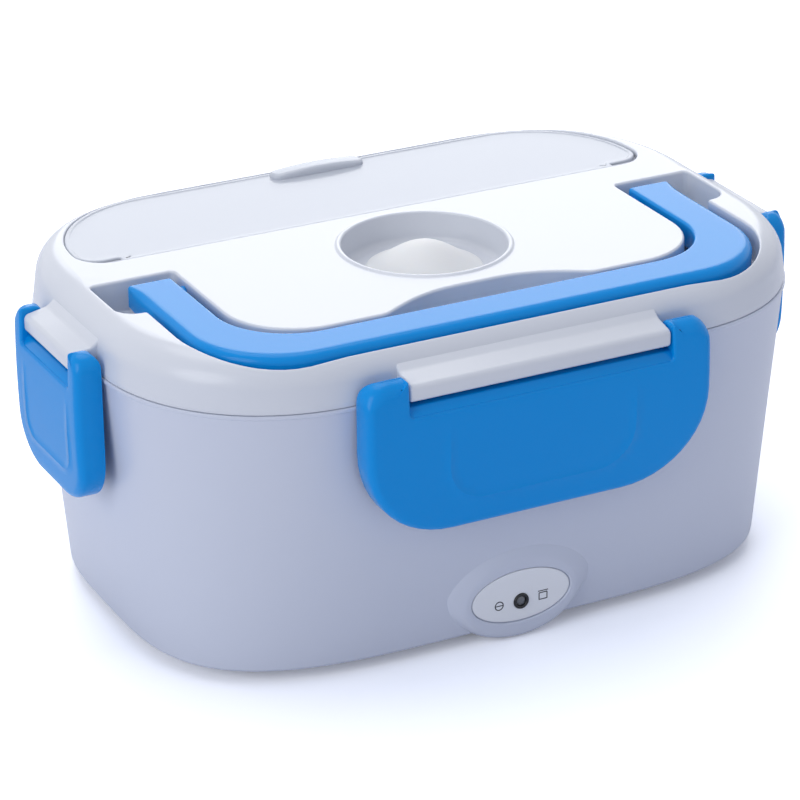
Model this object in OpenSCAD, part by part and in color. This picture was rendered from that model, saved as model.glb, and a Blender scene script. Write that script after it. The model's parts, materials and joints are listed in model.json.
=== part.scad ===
// Portable electric lunch box: a heated body, a lift-out food bowl and a
// lift-off lid that four hinged clips hold down. The lid carries a folding
// bail handle, a steam plug and a spoon compartment with its own cover.
// Sizes are in millimetres. X runs along the box, the front faces -Y, Z is up,
// and the origin is on the table under the middle of the box.

/* [Body] */
// Length of the body at the seam, without the clips
body_length = 220.8; // [206:0.4:240]
// Width of the body at the seam, without the clips
body_width = 148; // [140:1:165]
// Corner radius of the body's outline at the seam
corner_radius = 56; // [52:1:62]
// Height of the seam between body and lid
seam_height = 89.6; // [82:0.2:105]
// How far the body narrows on each side from the seam down
body_taper = 6; // [3:0.5:8]
// Height of the body's lower edge above the table
body_lift = 3.6; // [3:0.2:5]
// Wall of the body
body_wall = 2.2; // [1.8:0.1:2.6]
// Radius of the body's lower edge
foot_edge_radius = 2; // [1:0.25:2]
// Depth of the bead round the body's rim
rim_bead = 0.9; // [0.4:0.1:1.2]
// Height of the body's inner floor
floor_height = 22; // [20:0.5:26]

/* [Lid] */
// Height of the lid's flat top above the seam
lid_height = 15.4; // [14.6:0.2:20]
// Wall of the lid
lid_wall = 2.2; // [1.6:0.1:2.4]
// Radius of the lid's top edge
lid_edge_radius = 6.5; // [5:0.5:8]
// How far the lid's side leans in below the top edge
lid_lean = 1.5; // [0.5:0.25:2]
// Thickness of the panel under the lid
liner_thickness = 1.8; // [1.2:0.1:2]

/* [Clips] */
// Half the length of a clip on the front and the rear
long_clip_half = 56; // [50:1:62]
// Half the length of a clip on the left and the right
short_clip_half = 24.4; // [21:0.2:27]
// Length of one ear of a clip
clip_ear = 13.2; // [10:0.2:16]
// Length of one ear of a short clip
short_clip_ear = 6.4; // [5:0.2:8]
// How far a long clip reaches below the seam
long_clip_drop = 42.2; // [38:0.2:46]
// How far a short clip reaches below the seam
short_clip_drop = 40.4; // [36:0.2:45]
// Corner radius at the lower edge of a long clip
long_clip_corner = 28; // [20:1:30]
// Corner radius at the lower edge of a short clip
short_clip_corner = 15; // [10:1:18]
// How far a clip's face stands out from the body
clip_depth = 9.3; // [9.1:0.1:12]
// Wall of a clip
clip_wall = 2.2; // [1.6:0.1:2.6]
// Radius of the pins that the clips turn on
clip_pin_radius = 1.9; // [1.5:0.1:2]
// Distance of a clip's pin from the body's side
clip_pin_out = 5; // [5:0.1:6]

/* [Handle] */
// Length of the bail over its arms
handle_length = 183; // [176:1:190]
// Width of the bail's bar and arms
handle_bar = 14; // [11:0.5:15]
// Height of the bail's bar and arms
handle_thick = 8.2; // [7:0.2:8.2]
// Outer corner radius of the bail
handle_corner = 38; // [34:1:48]
// Distance from the middle of the lid to the bail's front
handle_reach = 65; // [62:0.5:66]
// Distance from the middle of the lid forward to the bail's pivot
pivot_forward = 1.5; // [0.5:0.5:4]
// Radius of the pegs that the bail turns on
peg_radius = 2.2; // [1.8:0.1:2.6]
// Gap between the bail's bar and the groove that it folds into
handle_gap = 1.5; // [1.2:0.1:2]
// Gap outside the bail's arms and corners
arm_gap = 2.3; // [1.5:0.1:2.5]
// Room between the bail's arms and the island that they turn on
arm_room = 2.5; // [2:0.1:3.5]

/* [Vent] */
// Radius of the vent well
vent_radius = 25; // [22:0.5:25]
// Distance from the middle of the lid forward to the vent
vent_forward = 9; // [9:0.5:12]
// Depth of the vent well
vent_depth = 9; // [7:0.25:9]
// Radius of the steam plug's brim
plug_radius = 18; // [15:0.5:20]

/* [Spoon compartment] */
// Distance from the middle of the lid back to the cover's straight edge
bay_front = 22; // [21:0.5:28]
// Distance from the middle of the lid back to the cover's round edge
bay_back = 69; // [66:0.5:69]
// Half the length of the cover's recess
bay_half = 96.5; // [90:0.5:97]
// Thickness of the cover
cover_thick = 1.6; // [1.2:0.1:2]
// Length of the spoon
spoon_length = 150; // [130:1:160]
// Radius of the spoon's bowl
spoon_bowl = 17; // [14:0.5:18]

/* [Food bowls] */
// Wall of the food bowls
bowl_wall = 1.8; // [1.2:0.1:2]
// How far the food bowl narrows on each side from its flange down
bowl_taper = 5; // [3:0.5:8]
// Distance from the middle of the bowl to the side dish
dish_start = 30; // [20:1:50]
// Depth of the side dish
dish_depth = 38; // [25:1:42]

/* [Heater] */
// Length of the warm plate
plate_length = 116; // [104:1:124]
// Width of the warm plate
plate_width = 68; // [62:1:76]
// Thickness of the warm plate
plate_thick = 1.6; // [1:0.1:2]
// Length of the heating element
element_length = 50; // [40:1:54]
// Width of the heating element
element_width = 24; // [16:1:24]
// Thickness of the heating element
element_thick = 5; // [3:0.5:6]

/* [Lamp and inlet] */
// Half the length of the lamp's plate
lamp_half = 16.4; // [13:0.2:18]
// Half the height of the lamp's plate
lamp_rise = 8.2; // [6.5:0.1:8.6]
// Height of the lamp and the inlet above the table
lamp_height = 14.7; // [14:0.1:15.5]
// Radius of the lamp's ring
lamp_ring = 2.5; // [2:0.1:3]
// Distance between the inlet's two pins
inlet_pitch = 8.6; // [8:0.1:9]
// Radius of the inlet's pins
inlet_pin = 1.2; // [1:0.05:1.3]

/* [Hidden] */

gap = 0.3;          // between pieces that come apart or move past each other
fit = 0.05;         // round a pin in its hole
cut = 1;            // how far a cut runs past the face that it opens
arc_steps = 6;      // edges in a quarter turn of a profile
$fn = 64;

white = [0.93, 0.94, 0.97];
milky = [0.86, 0.9, 0.97];
blue = [0.03, 0.46, 0.82];
steel = [0.7, 0.71, 0.73];
brass = [0.8, 0.66, 0.3];
dark = [0.12, 0.12, 0.13];

half_l = body_length / 2;
half_w = body_width / 2;
side_x = half_l - corner_radius;    // half the straight run of a long side
side_y = half_w - corner_radius;    // half the straight run of a short side

// Levels of the body
rim_bottom = seam_height - 3;       // the ledge that carries the bowl's flange
rim_ledge = 3;
cover_bottom = body_lift + 0.4;
cover_top = cover_bottom + body_wall;
floor_top = floor_height + body_wall;
gasket_thick = 0.6;
plate_under = floor_top + gasket_thick;
plate_top = plate_under + plate_thick;

// Screws
screw_radius = 1.5;
screw_head = 3;
head_thick = 1.8;
cup_wall = 1.6;
cup_top = cover_top + 3;
clamp_top = plate_under - element_thick;
clamp_thick = 1.2;
clamp_half_width = 6;
plate_lap = 7;                      // how far the warm plate lies on the floor
plate_corner = 10;
base_screw_in = [6, 12];            // from the start of the body's round corners
foot_in = [22, 26];
foot_radius = 6;
foot_stem = 2;
clamp_hold = plate_width / 2 - plate_lap + 4;

// Bosses on the front and the rear wall
boss_face = half_w - 3.8;
boss_depth = 8;
lamp_seat = 1;
lamp_eye = lamp_height - 1.9;
eye_radius = 1.6;
socket_half = inlet_pitch / 2 + 5;
socket_rise = 4.3;
socket_depth = 11;
inlet_wall = 1.6;
inlet_flange = 1.2;

// Levels of the bowls
flange_thick = 1.8;
flange_top = rim_bottom + flange_thick;
flange_edge = -body_wall - 0.5;
bowl_top = -body_wall - rim_ledge - 0.4;
bowl_bottom = plate_top + gap;
bowl_corner = 12;
shelf = flange_top - 5;             // carries the side dish's flange
shelf_width = 2.2;
dish_top = shelf + 1.4;
dish_bottom = dish_top - dish_depth;
dish_corner = 12;

// Levels of the lid
lid_bottom = seam_height + gap;
deck = seam_height + lid_height;
liner_bottom = lid_bottom + gap;
liner_top = liner_bottom + liner_thickness;
recess_wall = 1.8;
bail_bottom = deck - handle_thick;
groove_floor = bail_bottom - 0.6;
pocket_floor = groove_floor - 1;
pocket_half = half_l - 8.9;
pocket_back = 7.2;
pocket_front = 17.5;
pocket_corner = 9;
island_half = handle_length / 2 - handle_bar - arm_room;
island_corner = 23;
well_floor = deck - vent_depth;
well_lip = 2;                       // width of the raised ring round the well
vent_hole = 3;
notch_half = 31;
notch_deep = 8;

// The spoon's compartment and its cover
bay_skin = 1.4;
bay_floor = liner_top + bay_skin;
bay_corner = 44;
bay_small = 12;
bay_shelf = 2.2;
cover_seat = deck - cover_thick - 0.6;
cover_inset = cover_thick / 2 + 0.4;  // from the recess's straight edge to the cover's hinge
cover_axis = [bay_front + cover_inset, cover_seat + 0.2 + cover_thick / 2];
cover_end = bay_half - bay_small + sqrt(pow(bay_small, 2) - pow(bay_small - cover_inset, 2));
cover_swing = cover_thick / 2 + 0.1;    // how far the turned cover stands before its hinge
cover_free = bay_half - bay_small - gap
    + sqrt(pow(bay_small, 2) - pow(bay_small - cover_inset + cover_swing, 2));
barrel = cover_thick / 2 - 0.1;
barrel_half = cover_end + 1.5;
spoon_thick = 1.4;
spoon_y = (bay_front + bay_back) / 2;
spoon_x = -(spoon_length / 2 - spoon_bowl);

// Pivot of the bail
pivot_height = deck - 4;
arm_end = 4.5;                      // from the pivot to the end of an arm
peg_grip = 4;

// Clips: the pin, the ear round it, and the hook
long_clip_bottom = seam_height - long_clip_drop;
short_clip_bottom = seam_height - short_clip_drop;
pin_height = seam_height + 3.8;
pin_length = 4.6;
ear_radius = clip_pin_out - 3 * gap;
ear_round = 6.5;                    // corner radius on top of an ear
ear_least = 1.4;                    // flat left on top of a short ear
clip_back = rim_bead + 0.4;
ridge_height = seam_height - 3.1;   // top edge of a clip between its ears
face_radius = 170;
face_middle = seam_height - 11.6;
hook_top = seam_height - 11.1;
hook_tip = 2.3;                     // how far the hook stays from the body
catch_out = hook_tip - gap;
long_tab = long_clip_half - clip_ear;
short_tab = short_clip_half - short_clip_ear;
hook_share = 0.55;                  // part of the tab's length that the hook takes
long_line = 0.72 * long_tab;        // half the length of the line engraved in a long face
short_line = 0.94 * short_tab;
line_width = 0.7;
line_deep = 0.3;

// How far the body's side stands outside the seam's outline, at a height
function wall_at(z) = -body_taper * (seam_height - z) / (seam_height - body_lift);

// The same for the outside of the food bowl
function bowl_at(z) = bowl_top - bowl_taper * (flange_top - z) / (flange_top - bowl_bottom);

// How far a clip's face stands out from the body's side, at a height
function face_at(z) = clip_depth - face_radius + sqrt(pow(face_radius, 2) - pow(z - face_middle, 2));

// Points of an arc
function arc(centre, r, from, to, n = arc_steps) =
    [for (i = [0:n]) let (a = from + (to - from) * i / n) centre + r * [cos(a), sin(a)]];

// ---- Shapes that the pieces share --------------------------------------------

// Carries a profile round the outline. In the profile, x is the distance
// outside the outline at the seam, and y is the height.
module around() {
    for (flip = [0, 1]) {
        mirror([flip, 0, 0]) translate([side_x, 0, 0]) rotate([90, 0, 0])
            linear_extrude(2 * side_y, center = true) translate([corner_radius, 0]) children();
        mirror([0, flip, 0]) translate([0, side_y, 0]) rotate([90, 0, 90])
            linear_extrude(2 * side_x, center = true) translate([corner_radius, 0]) children();
    }
    for (flip_x = [0, 1], flip_y = [0, 1])
        mirror([flip_x, 0, 0]) mirror([0, flip_y, 0]) translate([side_x, side_y, 0])
            rotate_extrude(angle = 90) translate([corner_radius, 0]) children();
}

// A rectangle with round corners, from its half sizes
module round_rect(hx, hy, r) {
    square([2 * hx, 2 * (hy - r)], center = true);
    square([2 * (hx - r), 2 * hy], center = true);
    for (sx = [-1, 1], sy = [-1, 1]) translate([sx * (hx - r), sy * (hy - r)]) circle(r);
}

// A flat piece with the seam's outline, at a distance outside it
module slab(offset_by, bottom, top) {
    translate([0, 0, bottom]) linear_extrude(top - bottom)
        round_rect(half_l + offset_by, half_w + offset_by, corner_radius + offset_by);
}

// The part of a round rectangle past a straight cut at x = from, with smaller
// corners at the cut; grow moves the whole outline outwards
module half_moon(from, hx, hy, r, small, grow = 0) {
    reach = hx + grow;
    side = hy + grow;
    start = from - grow;
    turn = small + grow;
    intersection() {
        round_rect(reach, side, r + grow);
        union() {
            translate([start + turn, -side]) square([reach, 2 * side]);
            translate([start, turn - side]) square([reach, 2 * (side - turn)]);
            for (s = [-1, 1]) translate([start + turn, s * (side - turn)]) circle(turn);
        }
    }
}

// A shape from y = bottom to y = top, with round corners at the bottom
module tongue(half, bottom, top, r) {
    translate([-half, bottom + r]) square([2 * half, top - bottom - r]);
    translate([r - half, bottom]) square([2 * (half - r), top - bottom]);
    for (s = [-1, 1]) translate([s * (half - r), bottom + r]) circle(r);
}

module stadium(half, rise) {
    square([2 * (half - rise), 2 * rise], center = true);
    for (s = [-1, 1]) translate([s * (half - rise), 0]) circle(rise);
}

module oval(half, rise) {
    scale([1, rise / half]) circle(half, $fn = 48);
}

// Moves a piece that is drawn for the front, against y = 0, to another side
module at_side(angle, reach = 0) {
    rotate([0, 0, angle]) translate([0, -reach, 0]) children();
}

// Extrudes a cross-section, drawn as (y, z), along X
module along_x(length) {
    rotate([90, 0, 90]) linear_extrude(length, center = true) children();
}

// Extrudes a front view, drawn as (x, z), outwards from one depth to another
module outwards(from, to) {
    translate([0, -from, 0]) rotate([90, 0, 0]) linear_extrude(to - from) children();
}

// A flat piece drawn as (x, y), between two heights
module upright(bottom, top) {
    translate([0, 0, bottom]) linear_extrude(top - bottom) children();
}

module post(r, bottom, top) {
    translate([0, 0, bottom]) cylinder(top - bottom, r = r);
}

// A round bar along X, from one x to another
module bar_x(r, from, to, y, z) {
    translate([from, y, z]) rotate([0, 90, 0]) cylinder(to - from, r = r);
}

module on_both_sides() {
    children();
    mirror([1, 0, 0]) children();
}

module at_corners(x, y) {
    for (sx = [-1, 1], sy = [-1, 1]) translate([sx * x, sy * y, 0]) children();
}

module at_base_screws() {
    at_corners(side_x + base_screw_in[0], side_y + base_screw_in[1]) children();
}

module at_feet() {
    at_corners(side_x + foot_in[0], side_y + foot_in[1]) children();
}

module at_clamp_screws() {
    for (s = [-1, 1]) translate([0, s * clamp_hold, 0]) children();
}

// ---- Body ----------------------------------------------------------------------

module body_section() {
    polygon(concat(
        [[wall_at(body_lift) - body_wall, body_lift]],
        arc([wall_at(body_lift) - foot_edge_radius, body_lift + foot_edge_radius], foot_edge_radius, -90, 0),
        [[wall_at(rim_bottom - 1), rim_bottom - 1],
         [rim_bead, rim_bottom],
         [rim_bead, seam_height - 0.4],
         [rim_bead - 0.4, seam_height],
         [-body_wall, seam_height],
         [-body_wall, rim_bottom],
         [-body_wall - rim_ledge, rim_bottom],
         [-body_wall - rim_ledge, rim_bottom - 1.2],
         [wall_at(rim_bottom - 4) - body_wall, rim_bottom - 4]]));
}

// The rib under the rim that a clip's hook goes below
module catch(half) {
    along_x(2 * half) polygon([[2, hook_top + 0.6], [-catch_out, hook_top + 0.6],
                               [-catch_out, hook_top + 1.4], [2, hook_top + 4]]);
}

module lamp_boss(grow = 0) {
    outwards(boss_face - boss_depth - grow, boss_face + grow) translate([0, lamp_height])
        oval(lamp_half + 3.1 + grow, lamp_rise + 4.8 + grow);
}

module housing() {
    color(white) difference() {
        union() {
            around() body_section();
            slab(wall_at(floor_height) - body_wall / 2, floor_height, floor_top);
            lamp_boss();
            at_side(180) outwards(boss_face - boss_depth, boss_face) translate([0, lamp_height])
                stadium(socket_half + inlet_wall + 2, socket_rise + inlet_wall + 2);
            for (angle = [0, 180]) at_side(angle, half_w) catch(long_tab * hook_share + 4);
            for (angle = [90, -90]) at_side(angle, half_l) catch(short_tab * hook_share + 2);
            at_base_screws() post(screw_radius + 2.5, cup_top, floor_height + 1);
            at_clamp_screws() post(screw_radius + 2, clamp_top, floor_height + 1);
        }
        upright(floor_height - cut, floor_top + cut)
            round_rect(plate_length / 2 - plate_lap, plate_width / 2 - plate_lap,
                       plate_corner - plate_lap / 2);
        at_base_screws() post(screw_radius, cup_top - cut, floor_height - 3);
        at_clamp_screws() post(screw_radius, clamp_top - cut, floor_height);
        outwards(boss_face - lamp_seat, boss_face + cut) translate([0, lamp_height])
            oval(lamp_half, lamp_rise);
        outwards(boss_face - boss_depth - cut, boss_face) translate([0, lamp_eye])
            circle(lamp_ring + 0.6);
        at_side(180) outwards(boss_face - boss_depth - cut, boss_face + cut)
            translate([0, lamp_height]) stadium(socket_half + inlet_wall, socket_rise + inlet_wall);
    }
}

module base_cover() {
    color(white) difference() {
        union() {
            slab(wall_at(body_lift) - body_wall - gap, cover_bottom, cover_top);
            at_base_screws() post(screw_head + 0.4 + cup_wall, cover_bottom, cup_top);
        }
        lamp_boss(gap);
        at_base_screws() post(screw_head + 0.4, cover_bottom - cut, cup_top - cup_wall);
        at_base_screws() post(screw_radius + 0.2, cover_bottom, cup_top + cut);
        at_feet() post(foot_stem, cover_bottom - cut, cover_top + cut);
    }
}

module base_screws() {
    color(steel) at_base_screws() {
        post(screw_head, cup_top - cup_wall - head_thick, cup_top - cup_wall);
        post(screw_radius, cup_top - cup_wall, floor_height - 3);
    }
}

module feet() {
    color(dark) at_feet() {
        cylinder(cover_bottom, r1 = foot_radius, r2 = foot_radius + 0.5);
        post(foot_stem, cover_bottom, cover_top);
    }
}

// ---- Heater ----------------------------------------------------------------------

module heater_plate() {
    color(steel) upright(plate_under, plate_top) round_rect(plate_length / 2, plate_width / 2, plate_corner);
}

module plate_gasket() {
    lap = plate_lap - 1.5;
    color(dark) upright(floor_top, plate_under) difference() {
        round_rect(plate_length / 2, plate_width / 2, plate_corner);
        round_rect(plate_length / 2 - lap, plate_width / 2 - lap, plate_corner - lap / 2);
    }
}

module heating_element() {
    color([0.85, 0.85, 0.8]) upright(clamp_top, plate_under)
        square([element_length, element_width], center = true);
}

module heater_clamp() {
    color(steel) difference() {
        upright(clamp_top - clamp_thick, clamp_top)
            square([2 * clamp_half_width, 2 * clamp_hold + 10], center = true);
        at_clamp_screws() post(screw_radius, clamp_top - clamp_thick - cut, clamp_top + cut);
    }
}

module clamp_screws() {
    color(steel) at_clamp_screws() {
        post(screw_head, clamp_top - clamp_thick - head_thick, clamp_top - clamp_thick);
        post(screw_radius, clamp_top - clamp_thick, floor_height);
    }
}

// The cut-outs sit midway between the element and the edge of the floor's opening
beside_element = (element_length / 2 + plate_length / 2 - plate_lap) / 2;
thermostat_at = [beside_element, 0];
fuse_at = [-beside_element, 0];
thermostat_radius = 8.5;
thermostat_rim = 3.5;
thermostat_low = plate_under - 8;
terminal_low = thermostat_low - 3;
fuse_radius = 2.2;
fuse_half = 6;
fuse_height = plate_under - fuse_radius;

module thermostat() {
    color(dark) translate(thermostat_at) {
        post(thermostat_radius, plate_under - thermostat_rim, plate_under);
        post(thermostat_radius - 1, thermostat_low, plate_under - thermostat_rim);
        for (s = [-1, 1]) translate([s * 3, 0, 0]) post(0.8, terminal_low, thermostat_low);
    }
}

module thermal_fuse() {
    color(white) translate([fuse_at[0], 0, fuse_height]) rotate([90, 0, 0]) {
        cylinder(2 * fuse_half, r = fuse_radius, center = true);
        cylinder(2 * fuse_half + 5, r = 0.5, center = true);
    }
}

wire_radius = 1.1;
wire_low = cup_top + 2.5;

function unit(v) = v / norm(v);

// An insulated lead: one tube through a list of points
module lead(points) {
    sides = 8;
    last = len(points) - 1;
    across = [1, 0.2, 0.1];
    rings = [for (i = [0:last]) let (
        before = i > 0 ? unit(points[i] - points[i - 1]) : [0, 0, 0],
        after = i < last ? unit(points[i + 1] - points[i]) : [0, 0, 0],
        along = unit(before + after),
        u = unit(cross(along, across)),
        v = cross(along, u))
        for (k = [0:sides - 1]) let (turn = 360 * k / sides)
            points[i] + wire_radius * (cos(turn) * u + sin(turn) * v)];
    polyhedron(rings, concat(
        [[for (k = [0:sides - 1]) k]],
        [[for (k = [0:sides - 1]) last * sides + sides - 1 - k]],
        [for (i = [0:last - 1], k = [0:sides - 1]) let (
            a = i * sides + k,
            b = i * sides + (k + 1) % sides)
            each [[b, a, a + sides], [b, a + sides, b + sides]]]));
}

module wires() {
    tail = boss_face + inlet_flange - socket_depth - 9;
    pin = inlet_pitch / 2;
    end_x = element_length / 2 - 4;
    side = element_width / 2;
    element_z = clamp_top + element_thick / 2;
    board = boss_face - boss_depth - 1.6;
    lead_end = fuse_half + 2.5;
    term = thermostat_at[0];
    color([0.75, 0.1, 0.1]) {
        lead([[-pin, tail, lamp_height], [-pin, tail - 6, lamp_height], [fuse_at[0], 24, wire_low],
              [fuse_at[0], lead_end + 4, fuse_height], [fuse_at[0], lead_end, fuse_height]]);
        lead([[fuse_at[0], -lead_end, fuse_height], [fuse_at[0], -lead_end - 4, fuse_height],
              [-end_x, -side - 6, element_z], [-end_x, -side, element_z]]);
        lead([[pin, tail, lamp_height], [pin, tail - 6, lamp_height], [term - 3, 16, wire_low],
              [term - 3, 0, wire_low - 2], [term - 3, 0, terminal_low]]);
        lead([[term + 3, 0, terminal_low], [term + 3, 0, wire_low - 2], [term, -side - 8, wire_low],
              [end_x, -side - 6, element_z], [end_x, -side, element_z]]);
        for (s = [-1, 1])
            lead([[3 * s, -board, lamp_height], [3 * s, 6 - board, lamp_height], [12 * s, -32, wire_low],
                  [end_x * s, -side - 6, element_z], [end_x * s, -side, element_z]]);
    }
}

// ---- Lamp and inlet --------------------------------------------------------------

module lamp_plate() {
    color([0.68, 0.7, 0.76]) difference() {
        outwards(boss_face - lamp_seat, boss_face - gap) translate([0, lamp_height])
            oval(lamp_half, lamp_rise);
        outwards(boss_face - lamp_seat - cut, boss_face) translate([0, lamp_eye]) circle(lamp_ring);
    }
}

module lamp_bezel() {
    color(dark) outwards(boss_face - 4, boss_face + 0.2) translate([0, lamp_eye]) difference() {
        circle(lamp_ring);
        circle(eye_radius);
    }
}

module lamp_lens() {
    color([0.5, 0.5, 0.5]) outwards(boss_face - 4, boss_face - 0.2) translate([0, lamp_eye])
        circle(eye_radius);
}

module led_board() {
    back = boss_face - boss_depth;
    color([0.1, 0.4, 0.2]) {
        outwards(back - 1.6, back) translate([0, lamp_height]) square([22, 11], center = true);
        outwards(back, boss_face - 4) translate([0, lamp_eye]) circle(1.5);
    }
}

module power_inlet() {
    mouth = boss_face + inlet_flange;
    color(dark) at_side(180) difference() {
        union() {
            outwards(mouth - socket_depth - 2.4, boss_face) translate([0, lamp_height])
                stadium(socket_half + inlet_wall, socket_rise + inlet_wall);
            outwards(boss_face, mouth) translate([0, lamp_height])
                stadium(socket_half + inlet_wall + 2, socket_rise + inlet_wall + 2);
        }
        outwards(mouth - socket_depth, mouth + cut) translate([0, lamp_height])
            stadium(socket_half, socket_rise);
        outwards(mouth - socket_depth - 2.4 - cut, mouth - socket_depth + cut)
            for (s = [-1, 1]) translate([s * inlet_pitch / 2, lamp_height]) circle(inlet_pin);
    }
}

module inlet_pins() {
    mouth = boss_face + inlet_flange;
    color(brass) at_side(180) outwards(mouth - socket_depth - 9, mouth - 2)
        for (s = [-1, 1]) translate([s * inlet_pitch / 2, lamp_height]) circle(inlet_pin);
}

// ---- Food bowls --------------------------------------------------------------------

module bowl_section() {
    turn = [bowl_at(bowl_bottom) - bowl_corner, bowl_bottom + bowl_corner];
    polygon(concat(
        [[flange_edge, flange_top], [flange_edge, rim_bottom], [bowl_at(rim_bottom), rim_bottom]],
        arc(turn, bowl_corner, 0, -90),
        arc(turn, bowl_corner - bowl_wall, -90, 0),
        [[bowl_at(shelf - 2.4) - bowl_wall, shelf - 2.4],
         [bowl_at(shelf) - bowl_wall - shelf_width, shelf],
         [bowl_at(shelf) - bowl_wall, shelf],
         [bowl_at(flange_top) - bowl_wall, flange_top]]));
}

module food_container() {
    color(milky) {
        around() bowl_section();
        slab(bowl_at(bowl_bottom) - bowl_corner, bowl_bottom, bowl_bottom + bowl_wall);
    }
}

// The right-hand end of the seam's outline, past the side dish's inner wall
module dish_plan(offset_by, from) {
    half_moon(from, half_l + offset_by, half_w + offset_by, corner_radius + offset_by, dish_corner);
}

module side_dish() {
    flange = bowl_at(shelf) - bowl_wall - gap;
    side = bowl_at(dish_bottom - bowl_corner) - bowl_wall - gap;
    color(milky) difference() {
        union() {
            upright(dish_bottom, dish_top) dish_plan(side, dish_start);
            upright(shelf, dish_top) dish_plan(flange, dish_start - 3);
        }
        upright(dish_bottom + bowl_wall, dish_top + cut)
            dish_plan(side - bowl_wall, dish_start + bowl_wall);
    }
}

// ---- Lid ---------------------------------------------------------------------------

edge_centre = [-lid_lean - lid_edge_radius, deck - lid_edge_radius];

module lid_section() {
    polygon(concat(
        [[0, lid_bottom], [0, lid_bottom + 1.2]],
        arc(edge_centre, lid_edge_radius, 0, 90),
        arc(edge_centre, lid_edge_radius - lid_wall, 90, 0),
        [[-lid_wall, lid_bottom + 1.2], [-lid_wall, lid_bottom]]));
}

// The whole space under the lid's skin, to trim the recesses' walls
module lid_space() {
    inset = 0.5;
    around() polygon(concat(
        [[edge_centre[0], liner_top], [-inset - lid_lean, liner_top]],
        arc(edge_centre, lid_edge_radius - inset, 0, 90)));
    slab(edge_centre[0], liner_top, deck - inset);
}

// Plan of the groove for the bail, grown on every side
module bail_plan(back, grow = 0) {
    out = arm_gap + grow;
    front = handle_gap + grow;
    difference() {
        tongue(handle_length / 2 + out, -handle_reach - front, back, handle_corner + front);
        tongue(island_half - grow, handle_bar + front - handle_reach, back + cut, island_corner - grow);
    }
}

// Room beside the ends of the bail's arms, to spring them off their pegs
module pocket_plan(grow) {
    start = handle_length / 2 - handle_bar / 2;
    half = pocket_half + grow;
    on_both_sides() {
        translate([start, -pocket_front - grow])
            square([half - pocket_corner - start, pocket_back + pocket_front + 2 * grow]);
        translate([start, pocket_corner - pocket_front - grow])
            square([half - start, pocket_back + pocket_front + 2 * grow - pocket_corner]);
        translate([half - pocket_corner, pocket_corner - pocket_front - grow]) circle(pocket_corner);
    }
}

// Finger notch behind the bail's bar
module notch_plan(grow) {
    front = handle_bar + handle_gap - handle_reach;
    r = (pow(notch_half, 2) + pow(notch_deep, 2)) / (2 * notch_deep);
    intersection() {
        translate([0, front + notch_deep - r]) circle(r + grow);
        translate([-notch_half - grow, front - 1]) square([2 * (notch_half + grow), notch_deep + grow + 2]);
    }
}

module bay_plan(grow) {
    rotate(90) half_moon(bay_front, bay_back, bay_half, bay_corner, bay_small, grow);
}

// A tab that carries a clip, with its two pins
module hinge_tab(half) {
    tip = 1.6;
    nose = pin_height - clip_pin_radius - 0.2 + tip;
    along_x(2 * half) polygon(concat(
        [[2, pin_height + 3.3]],
        arc([-clip_pin_out - 1.5, nose], tip, 90, 270, 8),
        [[2, nose - tip]]));
    on_both_sides() bar_x(clip_pin_radius, half - 1, half + pin_length, -clip_pin_out, pin_height);
}

module lid_shell() {
    color(white) difference() {
        union() {
            around() lid_section();
            slab(edge_centre[0], deck - lid_wall, deck);
            intersection() {
                lid_space();
                union() {
                    upright(groove_floor - recess_wall, deck)
                        bail_plan(pocket_back + recess_wall, recess_wall);
                    upright(pocket_floor - recess_wall, deck) pocket_plan(recess_wall);
                    upright(groove_floor - recess_wall, deck) notch_plan(recess_wall);
                    upright(liner_top, deck) bay_plan(recess_wall);
                    translate([0, -vent_forward, 0])
                        post(vent_radius + recess_wall, well_floor - recess_wall, deck);
                    on_both_sides()
                        translate([island_half - 6.5, -pivot_forward - 5, groove_floor - recess_wall])
                            cube([6.5, 10, deck - groove_floor]);
                }
            }
            translate([0, -vent_forward, 0]) post(vent_radius + well_lip, deck - 1, deck + 0.6);
            for (angle = [0, 180]) at_side(angle, half_w) hinge_tab(long_tab - 0.5);
            for (angle = [90, -90]) at_side(angle, half_l) hinge_tab(short_tab - 0.5);
        }
        upright(groove_floor, deck + cut) bail_plan(pocket_back);
        upright(pocket_floor, deck + cut) pocket_plan(0);
        upright(groove_floor, deck + cut) notch_plan(0);
        upright(cover_seat, deck + cut) bay_plan(0);
        upright(bay_floor, deck + cut) bay_plan(-bay_shelf);
        translate([0, -vent_forward, 0]) {
            post(vent_radius, well_floor, deck + 2);
            post(vent_hole, well_floor - recess_wall - cut, well_floor + cut);
        }
        on_both_sides() {
            bar_x(peg_radius + fit, island_half - peg_grip, island_half + cut, -pivot_forward, pivot_height);
            bar_x(barrel + fit, cover_end - 3, barrel_half + gap, cover_axis[0], cover_axis[1]);
        }
    }
}

module lid_liner() {
    color(white) difference() {
        slab(-lid_wall - gap, liner_bottom, liner_top);
        translate([0, -vent_forward, 0]) post(2 * vent_hole, liner_bottom - cut, liner_top + cut);
    }
}

module lid_gasket() {
    color([0.85, 0.87, 0.9]) around() polygon([
        [flange_edge - 0.5, liner_bottom], [flange_edge - 0.9, flange_top + gap],
        [bowl_top - bowl_wall + 0.6, flange_top + gap], [bowl_top - bowl_wall + 0.2, liner_bottom]]);
}

// ---- Clips ---------------------------------------------------------------------------

module clip_section(bottom) {
    steps = 8;
    translate([-clip_pin_out, pin_height]) circle(ear_radius);
    polygon(concat(
        [for (i = [0:steps]) let (z = pin_height + (bottom - pin_height) * i / steps) [-face_at(z), z]],
        [[-hook_tip - gap, bottom], [-hook_tip - gap, bottom + clip_wall + 1],
         [-clip_back, bottom + clip_wall + 4], [-clip_back, seam_height + 0.4],
         [-clip_pin_out / 2, pin_height]]));
}

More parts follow.
